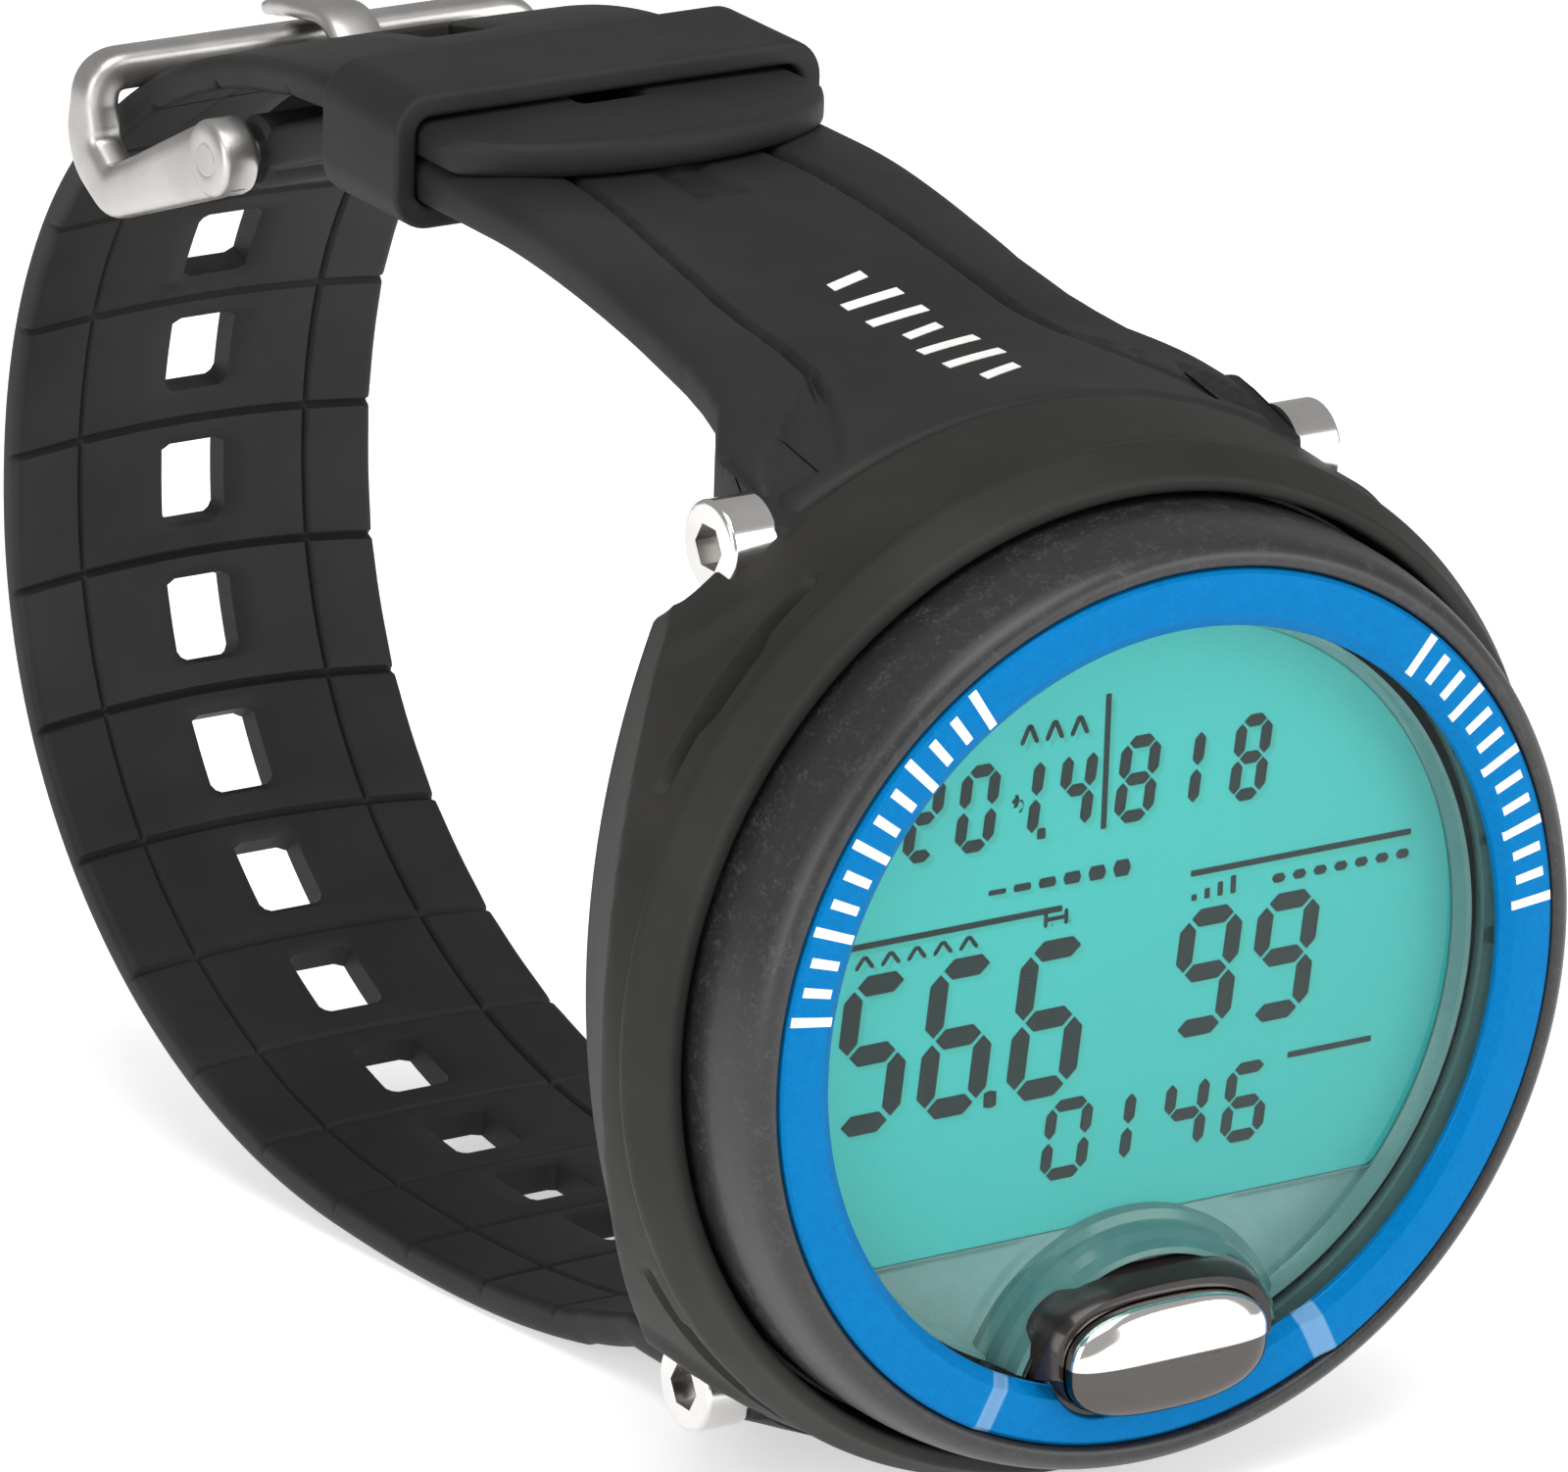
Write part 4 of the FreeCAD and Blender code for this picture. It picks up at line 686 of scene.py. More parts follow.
def window():
    """The crystal: two flat faces with a small rounded rim, its lower edge notched."""
    steps = 512
    theta = full_turn(steps)
    reach = notch_reach(theta, CRYSTAL_R - 0.05, NOTCH_R + 0.05)
    back = CRYSTAL_FRONT + CRYSTAL_THICK
    columns = [(0.0, 0.0, CRYSTAL_FRONT), (0.5, 0.0, CRYSTAL_FRONT), (1.0, -0.5, CRYSTAL_FRONT),
               (1.0, -0.15, CRYSTAL_FRONT + 0.06), (1.0, 0.0, CRYSTAL_FRONT + 0.3),
               (1.0, 0.0, back - 0.2), (1.0, -0.2, back), (0.5, 0.0, back), (0.0, 0.0, back)]
    share, extra, y = (spread(columns, part, theta) for part in range(3))
    points = round_y(share * reach + extra, y, theta)
    faces = grid_faces(steps, len(columns), wrap_rows=True)
    return piece("window", points, [faces], CRYSTAL, "case", ["crystal"], 30)


def notch_wall():
    """The moulding's wall round the notch: an arc of the notch circle, stepped in three rings
    from the window's face down to the display, and kept inside the window's circle."""
    steps = 160
    angle = np.linspace(math.radians(8), math.radians(172), steps)[:, None]
    columns = [(0.10, CRYSTAL_FRONT + 0.35), (0.45, CRYSTAL_FRONT + 0.45),
               (0.75, CRYSTAL_FRONT + 1.2), (1.2, CRYSTAL_FRONT + 1.6),
               (1.5, LCD_FRONT - 0.9), (2.0, LCD_FRONT - 0.6), (2.2, LCD_FRONT - 0.05),
               (2.0, LCD_FRONT + 0.3), (0.10, LCD_FRONT + 0.3)]
    points = round_y(NOTCH_R + spread(columns, 0, angle), spread(columns, 1, angle), angle)
    points[..., 2] = NOTCH_Z + points[..., 2]
    outside = np.hypot(points[..., 0], points[..., 2])
    shrink = np.minimum(1.0, (WINDOW_R - 0.1) / outside)[..., None]
    points[..., [0, 2]] = points[..., [0, 2]] * shrink
    points = folded_ends(points)
    faces = grid_faces(steps + 2, len(columns), wrap_columns=True)
    return piece("notch_wall", points, [faces], WINDOW_EDGE, "case", (), 25)


def dish():
    """The grey moulding round the display. Rows run round, and the section falls from under the
    window's rim to the display. The lower part is a shallow dish of two rings centred on the
    notch: it sinks 0.30 outside them and rises 0.35 inside, each by a smooth step."""
    steps = 360
    theta = full_turn(steps)
    rim = WINDOW_R - 0.05
    columns = [(rim, CRYSTAL_FRONT + 2.25), (rim - 0.25, CRYSTAL_FRONT + 2.4),
               (rim - 0.5, LCD_FRONT - 0.35), (DISH_R, LCD_FRONT - 0.1),
               (DISH_R, LCD_FRONT + 0.4), (rim, LCD_FRONT + 0.4)]
    wall = round_y(spread(columns, 0, theta), spread(columns, 1, theta), theta)
    faces = grid_faces(steps, len(columns), wrap_rows=True, wrap_columns=True)
    rows, cols = 90, 160
    x = np.linspace(-1, 1, cols)[None, :]
    v = np.linspace(0, 1, rows)[:, None]
    top = LCD_FLAT_Z + 0 * x
    reach, notch = DISH_R + 0.3, NOTCH_R + 2.0
    half = math.sqrt(reach ** 2 - LCD_FLAT_Z ** 2)
    xx = x * half + 0 * v
    bottom = -np.sqrt(np.clip(reach ** 2 - xx ** 2, 0, None))
    notch_top = NOTCH_Z + np.sqrt(np.clip(notch ** 2 - xx ** 2, 0, None))
    bottom = np.where(np.abs(xx) < notch, np.maximum(bottom, notch_top), bottom)
    bottom = np.minimum(bottom, LCD_FLAT_Z - 0.3)
    zz = top + (bottom - top) * v
    ring = np.hypot(xx, zz - NOTCH_Z) - NOTCH_R
    depth = 0.30 * smooth((ring - 3.0) / 1.4) - 0.35 * smooth((2.6 - ring) / 1.6)
    depth = depth * smooth((top - zz) / 0.5)
    upper = np.stack([xx, LCD_FRONT - 0.12 + depth, zz], -1)
    lower = np.stack([xx, LCD_FRONT + 0.6 + 0 * zz, zz], -1)
    co, more = two_sided(upper, lower, np.ones((rows - 1, cols - 1), bool))
    co, all_faces = joined([(wall, faces), (co, more)])
    return piece("dish", co, [all_faces], WINDOW_GREY, "case", ["window_mask"], 25)


def display():
    """The display's glass: a disc cut flat below, with a rounded front rim."""
    steps = 256
    theta = full_turn(steps)
    low = np.where(np.sin(theta) < 0, LCD_FLAT_Z / np.minimum(np.sin(theta), -1e-6), 1e9)
    reach = np.minimum(DISH_R - 0.02, low)
    columns = [(0.0, LCD_FRONT), (0.5, LCD_FRONT), (0.995, LCD_FRONT), (1.0, LCD_FRONT + 0.1),
               (1.0, LCD_FRONT + 1.6), (0.0, LCD_FRONT + 1.6)]
    points = round_y(spread(columns, 0, theta) * reach, spread(columns, 1, theta), theta)
    faces = grid_faces(steps, len(columns), wrap_rows=True)
    return piece("display", points, [faces], TEAL, "case", ["lcd_glass"], 30)


# ---- figures on the display ------------------------------------------------------------------
SEGMENTS = {"0": "abcdef", "1": "bc", "2": "abged", "3": "abgcd", "4": "fgbc", "5": "afgcd",
            "6": "afgedc", "7": "abc", "8": "abcdefg", "9": "abcdfg", "-": "g"}
FIGURE_SHIFT = np.array([0.7, -0.4])
SHADE_SHIFT = np.array([0.35, -0.35])


def bar_shape(x0, z0, x1, z1, thick, taper=0.5):
    """A six-sided bar from end to end, pointed by taper times its thickness at each end."""
    along = np.array([x1 - x0, z1 - z0], float)
    length = np.linalg.norm(along)
    along /= length
    side = np.array([-along[1], along[0]]) * thick / 2.0
    start, end = np.array([x0, z0], float), np.array([x1, z1], float)
    cut = along * thick * taper
    return np.array([start, start + cut + side, end - cut + side, end,
                     end - cut - side, start + cut - side])


def digit_bars(mark, x0, x1, z0, z1, thick, lean=0.10):
    """Seven-bar figure in a leaning box: x shifts by lean times height above z0."""
    gap = 0.16 * thick
    mid = (z0 + z1) / 2.0
    xl, xr, zt, zb = x0 + thick / 2, x1 - thick / 2, z1 - thick / 2, z0 + thick / 2
    ends = {"a": (xl + gap, zt, xr - gap, zt), "g": (xl + gap, mid, xr - gap, mid),
            "d": (xl + gap, zb, xr - gap, zb), "f": (xl, mid + gap, xl, zt - gap),
            "b": (xr, mid + gap, xr, zt - gap), "e": (xl, zb + gap, xl, mid - gap),
            "c": (xr, zb + gap, xr, mid - gap)}
    bars = []
    for letter in SEGMENTS[mark]:
        shape = bar_shape(*ends[letter], thick)
        shape[:, 0] += (shape[:, 1] - z0) * lean
        bars.append(shape)
    return bars


def plates(shapes, y, thick):
    """Each six-cornered outline as a thin closed plate between y and y + thick."""
    parts = []
    for outline in shapes:
        ring = np.stack([outline[:, 0], np.full(6, y), outline[:, 1]], -1)
        back = ring + np.array([0, thick, 0])
        side = [(k, (k + 1) % 6, 6 + (k + 1) % 6, 6 + k) for k in range(6)]
        caps = [(0, 1, 2, 3), (0, 3, 4, 5), (6, 7, 8, 9), (6, 9, 10, 11)]
        parts.append((np.concatenate([ring, back]), np.array(side + caps)))
    return joined(parts)


def figures():
    """The numbers and signs on the display, in three sizes, and a faint shade of each one on
    the layer below: each figure is (mark, left, right), between a low and a high z."""
    bars = []
    for mark, x0, x1 in (("5", -21.3, -16.6), ("6", -15.5, -10.8), ("6", -9.4, -4.6)):
        bars += digit_bars(mark, x0, x1, -5.1, 4.5, 1.22)
    bars.append(bar_shape(-10.35, -5.1, -10.35, -4.0, 0.85, 0.15))
    for mark, x0, x1 in (("9", 1.7, 6.0), ("9", 7.1, 11.4)):
        bars += digit_bars(mark, x0, x1, -3.2, 4.6, 1.08)
    for mark, x0, x1 in (("2", -17.0, -14.6), ("0", -13.5, -10.9), ("-", -10.4, -8.9),
                         ("1", -9.4, -7.9), ("4", -6.7, -4.3), ("8", -2.7, 0.0), ("1", 1.6, 3.1),
                         ("8", 5.2, 7.7)):
        bars += digit_bars(mark, x0, x1, 10.8, 16.0, 0.74)
    bars.append(bar_shape(-7.55, 10.8, -7.55, 11.5, 0.55, 0.1))
    bars.append(bar_shape(-3.3, 10.7, -3.3, 18.9, 0.36, 0.1))
    for mark, x0, x1 in (("0", -6.8, -3.6), ("1", -2.1, -0.6), ("4", 1.5, 4.5), ("6", 5.7, 8.7)):
        bars += digit_bars(mark, x0, x1, -10.4, -5.5, 0.74)
    for x0, x1, z in ((2.9, 18.3, 6.9), (-20.5, -5.9, 6.35), (10.3, 16.2, -5.6)):
        bars.append(bar_shape(x0, z, x1, z, 0.36, 0.1))
    bars += small_marks()
    bars = [outline + FIGURE_SHIFT for outline in bars]
    co, faces = plates(bars, LCD_FRONT - 0.05, 0.04)
    piece("figures", co, [faces], INK, "case")
    shade = [outline + SHADE_SHIFT for outline in bars]
    co, faces = plates(shade, LCD_FRONT - 0.008, 0.006)
    piece("figure_shadows", co, [faces], INK_SHADOW, "case")


def small_marks():
    """Plain signs in the places of captions: up arrows, waves, steps, and clock ticks."""
    out = []
    for x in (-8.6, -6.9, -5.2):
        out += [bar_shape(x - 0.55, 16.7, x, 17.9, 0.28), bar_shape(x, 17.9, x + 0.55, 16.7, 0.28)]
    for k in range(6):
        x = -11.0 + 1.7 * k
        out.append(bar_shape(x, 8.1, x + 1.2, 8.1, 0.30 + 0.14 * k, 0.2))
    for k in range(5):
        x = -19.8 + 1.75 * k
        out += [bar_shape(x, 4.95, x + 0.6, 5.75, 0.24),
                bar_shape(x + 0.6, 5.75, x + 1.2, 4.95, 0.24)]
    out += [bar_shape(-7.0, 5.3, -7.0, 6.3, 0.24), bar_shape(-5.6, 5.3, -5.6, 6.3, 0.24),
            bar_shape(-7.0, 5.8, -5.6, 5.8, 0.24)]
    for k in range(4):
        out.append(bar_shape(3.2 + 0.9 * k, 5.2, 3.2 + 0.9 * k, 5.6 + 0.24 * k, 0.34, 0.1))
    for k in range(7):
        x = 8.6 + 1.45 * k
        out.append(bar_shape(x, 5.6, x + 0.95, 5.6, 0.55, 0.35))
    return out


# ---- button ----------------------------------------------------------------------------------
def ringed(columns, width, height, count=240, power=2.6):
    """A stack of long rounded outlines |x/a|^p + |z/b|^p = 1 round the button's centre: each
    column is (inset, y), and a negative inset lies outside."""
    turn = full_turn(count)
    c, s = np.cos(turn), np.sin(turn)
    inset, y = spread(columns, 0, turn), spread(columns, 1, turn)
    a, b = np.maximum(width / 2 - inset, 0.02), np.maximum(height / 2 - inset, 0.0)
    x = a * np.sign(c) * np.abs(c) ** (2 / power)
    z = BUTTON_Z + b * np.sign(s) * np.abs(s) ** (2 / power)
    return np.stack([x, y, z], -1), count


def button():
    """A long rounded cap: upright wall, fine bevel, and a face that crowns in steps of its own
    outline, inset by inset, to the flat line along its middle."""
    front = BUTTON_FRONT
    columns = [(0.0, FRONT + 2.0), (0.0, front + 1.25), (0.03, front + 1.02), (0.16, front + 0.82),
               (0.34, front + 0.66), (0.50, front + 0.56), (0.7, front + 0.44), (1.1, front + 0.30),
               (1.7, front + 0.17), (2.4, front + 0.075), (3.1, front + 0.02), (3.45, front),
               (3.45, FRONT + 2.0)]
    points, count = ringed(columns, BUTTON_W, BUTTON_H)
    faces = grid_faces(count, len(columns), wrap_rows=True, wrap_columns=True)
    return piece("button", points, [faces], BUTTON_STEEL_PAINTED_REFLECTION, "button",
                 ["button_cap"], 28)


def collar():
    """The dark gloss surround, 1.4 wide outside a gap: it stands round the button above the
    notch, its top rolled over, and sinks below the trim ring where the ring is."""
    gap = 0.10
    columns = [(gap, FRONT + 2.2), (gap, FRONT - 0.35), (gap + 0.12, FRONT - 0.6),
               (gap + 0.32, FRONT - 0.66), (gap + 0.62, FRONT - 0.45), (gap + 0.95, FRONT + 0.2),
               (gap + 1.25, FRONT + 1.2), (gap + 1.4, FRONT + 2.2), (gap + 1.4, FRONT + 4.2),
               (gap, FRONT + 4.2)]
    points, count = ringed([(-out, y) for out, y in columns], BUTTON_W, BUTTON_H)
    x, y, z = points[..., 0], points[..., 1], points[..., 2]
    out = np.array([column[0] for column in columns])[None]
    away = np.hypot(x, z)
    under = smooth((away - 22.3) / 0.7) * (out > gap + 0.05)
    y = np.maximum(y, FRONT + 1.2 * under - 0.4 * (1 - under))
    limit = np.minimum(1.0, (CRYSTAL_R - 0.1) / away)
    x, z = np.where(z < -20, x * limit, x), np.where(z < -20, z * limit, z)
    points = np.stack([x, y, z], -1)
    faces = grid_faces(count, len(columns), wrap_rows=True, wrap_columns=True)
    return piece("collar", points, [faces], COLLAR_GLOSS, "case",
                 ["button_collar"], 35)


def notch_floor():
    """The dark plate that fills the notch round the collar: a half disc of the notch circle
    that falls gently from the collar to the notch's edge."""
    rows, cols = 60, 120
    angle = np.linspace(math.radians(-5), math.radians(185), cols)[None, :]
    v = np.linspace(0.25, 1, rows)[:, None]
    r = NOTCH_R * v
    x, z = r * np.cos(angle), NOTCH_Z + r * np.sin(angle)
    y = FRONT + 0.75 + 1.1 * smooth((v - 0.72) / 0.28) + 0 * angle
    upper = np.stack([x, y, z], -1)
    lower = np.stack([x, y * 0 + LCD_FRONT - 0.1, z], -1)
    co, faces = two_sided(upper, lower, np.ones((rows - 1, cols - 1), bool))
    return piece("notch_floor", co, [faces], COLLAR_GLOSS, "case", (), 30)


# ---- straps ----------------------------------------------------------------------------------
def quarter(t):
    """(1 - t^p)^(1/p), the loop's superellipse."""
    return (1 - np.clip(t, 0, 1) ** LOOP_POWER) ** (1 / LOOP_POWER)


def under_z(y, offset):
    """Height of the strap's underside line between the case and the loop's middle."""
    return -(LOOP_LOW + offset) * quarter((LOOP_MID_Y - y) / LOOP_REACH_CASE) + LOOP_SHIFT_Z


def loop_point(angle, offset):
    """A place on the loop's far half: 0 is the bottom, 90 the far end, 180 the top (degrees)."""
    angle = np.radians(angle)
    s, c = np.abs(np.sin(angle)), np.cos(angle)
    high = np.where(c > 0, -(LOOP_LOW + offset), LOOP_HIGH + offset)
    y = LOOP_MID_Y + (LOOP_REACH + offset) * s ** (2 / LOOP_POWER)
    return y, high * np.abs(c) ** (2 / LOOP_POWER) + LOOP_SHIFT_Z


def upper_top_z(y):
    """The buckle strap's top along its middle, rising from the case to the keeper."""
    return STRAP_TOP_Z + STRAP_RISE * smooth((y - 5.0) / 28.0)


def lower_top_z(y):
    """The holed strap's outer height along its middle, level until the loop's line passes it."""
    return np.maximum(STRAP_TOP_Z, -under_z(y, STRAP_T))


END_Y = [STRAP_START_Y, -3.9, -1.5, 1.0, 3.0, 5.0, 7.5, 10.0, 15.0, 20.0, 28.0, 37.0]
END_HALF = [16.7, 17.6, 17.65, 17.0, 15.7, 14.5, 13.9, 13.5, 13.2, 13.2, 13.3, 13.3]
END_CROWN = [32.4, 42.0, 49.0, 56.0, 66.0, 75.0, 92.0, 110.0, 180.0, 400.0, 900.0, 900.0]


def mirrored_columns(half_columns):
    """Column places from the middle out, mirrored to both sides."""
    out = np.array(sorted(half_columns))
    return np.concatenate([-out[::-1], out[out > 1e-9]])


def edge_round(distance, radius):
    """Height lost at a rounded edge: radius - sqrt(radius^2 - (radius - distance)^2)."""
    d = np.clip(distance, 0, radius)
    return radius - np.sqrt(np.maximum(radius ** 2 - (radius - d) ** 2, 0))


def groove(distance, width, depth):
    """A rounded valley about a line: depth (1 - smooth(|distance| / half width))."""
    return depth * (1 - smooth(np.abs(distance) / (0.5 * width)))


def strap_grids(y, z, out_y, out_z, crown, thick, x, lost_out, lost_in):
    """Outer and inner point grids of a crowned band: rows at (y, z) on the inner face, the
    outer face a thickness along (out_y, out_z), both falling away with crown - sqrt(crown^2
    - x^2), less what edges and grooves take from either face."""
    drop = crown - np.sqrt(crown ** 2 - x ** 2)
    up = thick - drop - lost_out
    low = -drop + lost_in
    outer = np.stack([x, y + out_y * up, z + out_z * up], -1)
    inner = np.stack([x, y + out_y * low, z + out_z * low], -1)
    return outer, inner


def hole_runs():
    """Lengths along the inner line, from EVEN_FROM_Y on, at which the hole centres lie: they
    lead the even pitch, and the lead fades over the four holes before the tongue's."""
    k = np.arange(18)
    return FIRST_HOLE + HOLE_PITCH * k + HOLE_LEAD * smooth((TONGUE_HOLE - k) / 4)


def groove_runs():
    """The same for the cross grooves, which lie half a pitch after each hole's even place."""
    k = np.arange(-1, 18)
    return FIRST_HOLE + HOLE_PITCH * (k + 0.5) + GROOVE_LEAD * smooth((TONGUE_HOLE - k) / 4)


def cheek(strap_top, sign, mirror_z):
    """The boss beside a strap's end: a round foot about the screw's axis, straight flanks up
    to just under the strap's top, and an edge rounded at its outer side face."""
    angle = np.linspace(np.pi, 2 * np.pi, 40)
    foot = np.stack([HINGE_Y + CHEEK_R * np.cos(angle), HINGE_Z + CHEEK_R * np.sin(angle)], -1)
    rise = np.linspace(0, 1, 14)[1:, None]
    right = foot[-1] + rise * np.array([0.9, 6.0])
    left = (foot[0] + rise * np.array([0.9, 6.0]))[::-1]
    line = np.concatenate([foot, right, left])[None]
    columns = [(13.9, 2.0), (13.9, 0.0), (17.2, 0.0), (17.55, 0.08), (17.78, 0.3), (17.87, 0.6),
               (17.88, 3.0)]
    x = np.array([c[0] for c in columns])[:, None]
    inset = np.array([c[1] for c in columns])[:, None]
    middle = np.array([HINGE_Y + 0.3, HINGE_Z + 1.5])
    away = line - middle
    length = np.linalg.norm(away, axis=-1, keepdims=True)
    spot = middle + away * np.clip(1 - inset[..., None] / length, 0.12, 1)
    limit = strap_top(spot[..., 0], np.minimum(x, 16.7)) - 0.35
    z = np.minimum(spot[..., 1], limit)
    points = np.stack([sign * x + 0 * z, spot[..., 0], mirror_z * z], -1)
    points = folded_ends(points)
    return points.reshape(-1, 3), grid_faces(len(points), line.shape[1], wrap_columns=True)


def roof(top):
    """Height of a strap end's surface over (y, x) from its middle line and crown."""
    def height(y, x):
        """The middle line's height less the crown's fall at x."""
        crown = np.interp(y, END_Y, END_CROWN)
        return top(y) - (crown - np.sqrt(crown ** 2 - np.minimum(x, crown * 0.9) ** 2))
    return height


def holed_line():
    """The holed strap's inner line as (y, z) points, and how many of them lie before
    EVEN_FROM_Y: the case's end, the loop's near quarter, its far half, and the tail."""
    y_end = np.linspace(STRAP_START_Y, EVEN_FROM_Y, 56, endpoint=False)
    z_end = -(lower_top_z(y_end) - STRAP_T)
    y_low = np.linspace(EVEN_FROM_Y, LOOP_MID_Y, 60, endpoint=False)
    far_y, far_z = loop_point(np.linspace(0, 180, 361), 0.0)
    line = np.concatenate([np.stack([y_end, z_end], -1), np.stack([y_low, under_z(y_low, 0)], -1),
                           np.stack([far_y, far_z], -1), [(TAIL_TIP_Y, TAIL_Z)]])
    return line, len(y_end)


def holed_rows(zero, total, holes, cross):
    """Lengths along the line at which the sheet has a row: even steps, closer ones at each
    hole's ends and across each groove, and a fine run round the tail's tip."""
    rows = [np.arange(0, zero, 0.6), np.arange(zero, total - TIP_LENGTH - 1, 1.0)]
    near_hole = np.array([-3.0, -HOLE_HALF_RUN, -2.05, 2.05, HOLE_HALF_RUN, 3.0])
    rows += [h + near_hole for h in holes]
    rows += [g + np.array([-0.5, -0.3, -0.15, 0, 0.15, 0.3, 0.5]) for g in cross]
    rows += [np.linspace(total - TIP_LENGTH - 1, total - 1.3, 12),
             total - 1.3 * (1 - np.sin(np.linspace(0, np.pi / 2, 8)))]
    s = np.unique(np.round(np.concatenate(rows), 3))
    s = s[np.concatenate([[True], np.diff(s) > 0.045])]
    s[-1] = total
    return s


def lower_strap():
    """The holed strap, one sheet from the case round the loop to the tail. Rows follow its
    inner line and bow 0.85 towards the tail at each cross groove; columns run across it."""
    line, case_points = holed_line()
    run = np.concatenate([[0], np.cumsum(np.hypot(*np.diff(line, axis=0).T))])
    zero = run[case_points]
    total = run[-1]
    holes = zero + hole_runs()
    cross = zero + groove_runs()
    cross = cross[cross < total - TIP_LENGTH - 0.5]
    s = holed_rows(zero, total, holes, cross)
    x = mirrored_columns([0, 0.8, 1.7, HOLE_HALF_X, 2.65, 4.2, 5.6, 7.0, 7.83, 8.03, 8.18,
                          LINE_GROOVE_X, 8.48, 8.63, 8.83, 10.0, 11.2, 12.2, 12.6, 12.85, 13.05,
                          13.18, 13.26, STRAP_HALF])[None]
    from_hole = np.abs(s[:, None] - holes[None]).min(1)[:, None]
    to_groove = (s[:, None] - cross[None])
    nearest = np.abs(to_groove).argmin(1)
    to_groove = to_groove[np.arange(len(s)), nearest][:, None]
    end_s = total - TIP_LENGTH * (1 - np.sqrt(np.clip(1 - (x / STRAP_HALF) ** 2, 0, 1)))
    bow = (0.85 * (1 - (x / STRAP_HALF) ** 2) - 0.4) * smooth((from_hole - 3.0) / 0.5)
    bow = bow * smooth((s[:, None] - zero - 3) / 4) * smooth((total - 10 - s[:, None]) / 3)
    start_tip = total - TIP_LENGTH - 1
    share = np.clip((s[:, None] - start_tip) / (total - start_tip), 0, 1)
    place = np.where(share > 0, start_tip + share * (end_s - start_tip), s[:, None] + bow)
    corner = np.abs(from_hole - HOLE_HALF_RUN) < 0.03
    corner = corner & (np.abs(np.abs(x) - HOLE_HALF_X) < 0.01)
    nearest_hole = holes[np.abs(s[:, None] - holes[None]).argmin(1)][:, None]
    place = place - 0.22 * corner * np.sign(s[:, None] - nearest_hole)
    across = x - 0.22 * corner * np.sign(x) + 0 * place
    y, z = np.interp(place, run, line[:, 0]), np.interp(place, run, line[:, 1])
    ahead, behind = np.minimum(place + 0.8, total), np.maximum(place - 0.8, 0)
    ty = np.interp(ahead, run, line[:, 0]) - np.interp(behind, run, line[:, 0])
    tz = np.interp(ahead, run, line[:, 1]) - np.interp(behind, run, line[:, 1])
    size = np.hypot(ty, tz)
    out_y, out_z = tz / size, -ty / size
    near_case = place < zero + 18
    half = np.where(near_case, np.interp(y, END_Y, END_HALF), STRAP_HALF)
    half = np.where(near_case, np.maximum(half, 12.9), half)
    crown = np.where(near_case, np.interp(y, END_Y, END_CROWN), 900.0)
    wide = across * half / STRAP_HALF
    beside = half - np.abs(wide)
    tip = np.where(share > 0, end_s - place, 9.0)
    margin = np.minimum(beside, tip)
    hole_edge = np.maximum(from_hole - HOLE_HALF_RUN, np.abs(x) - HOLE_HALF_X)
    in_holes = (s[:, None] > zero) & (s[:, None] < total)
    chamfer = 0.20 * (1 - np.clip(np.abs(hole_edge) / 0.33, 0, 1)) * in_holes
    lost_out = edge_round(margin, 0.9) + chamfer
    plain = smooth((s[:, None] - zero - 1) / 3) * smooth((total - TIP_LENGTH - s[:, None]) / 2)
    from_line = np.abs(x) - LINE_GROOVE_X
    lines = np.maximum(groove(to_groove, 0.72, 0.42), groove(from_line, 0.62, 0.34))
    pad = 0.10 * smooth(np.abs(to_groove) / 2.2) * smooth(np.abs(from_line) / 1.8)
    lost_in = edge_round(margin, 0.55) + chamfer + plain * (lines + 0.10 - pad)
    deep = 4.2 * smooth((np.abs(x) / STRAP_HALF - 0.66) / 0.10)
    deep = deep * smooth((2.5 - y) / 3.0) * near_case
    outer, inner = strap_grids(y, z, out_y, out_z, crown, STRAP_T, wide, lost_out, lost_in - deep)
    mid_s = (s[1:] + s[:-1]) / 2
    mid_x = (x[0, 1:] + x[0, :-1]) / 2
    open_row = np.abs(mid_s[:, None] - holes[None]).min(1) < HOLE_HALF_RUN
    keep = ~(open_row[:, None] & (np.abs(mid_x) < HOLE_HALF_X)[None])
    sheet = two_sided(outer, inner, keep)
    top = roof(lower_top_z)
    parts = [sheet, cheek(top, 1, -1), cheek(top, -1, -1)]
    co, faces = joined(parts)
    return piece("holed_strap", co, [faces], RUBBER, "case", ["lower_strap"], 32)


GROOVE_Y = [-6.0, -2.0, 1.0, 4.0, 8.0, 14.0, 22.0, 33.0, 48.0]
GROOVE_X = [13.9, 11.6, 9.9, 8.7, 8.2, 8.3, 7.9, 6.9, 6.2]


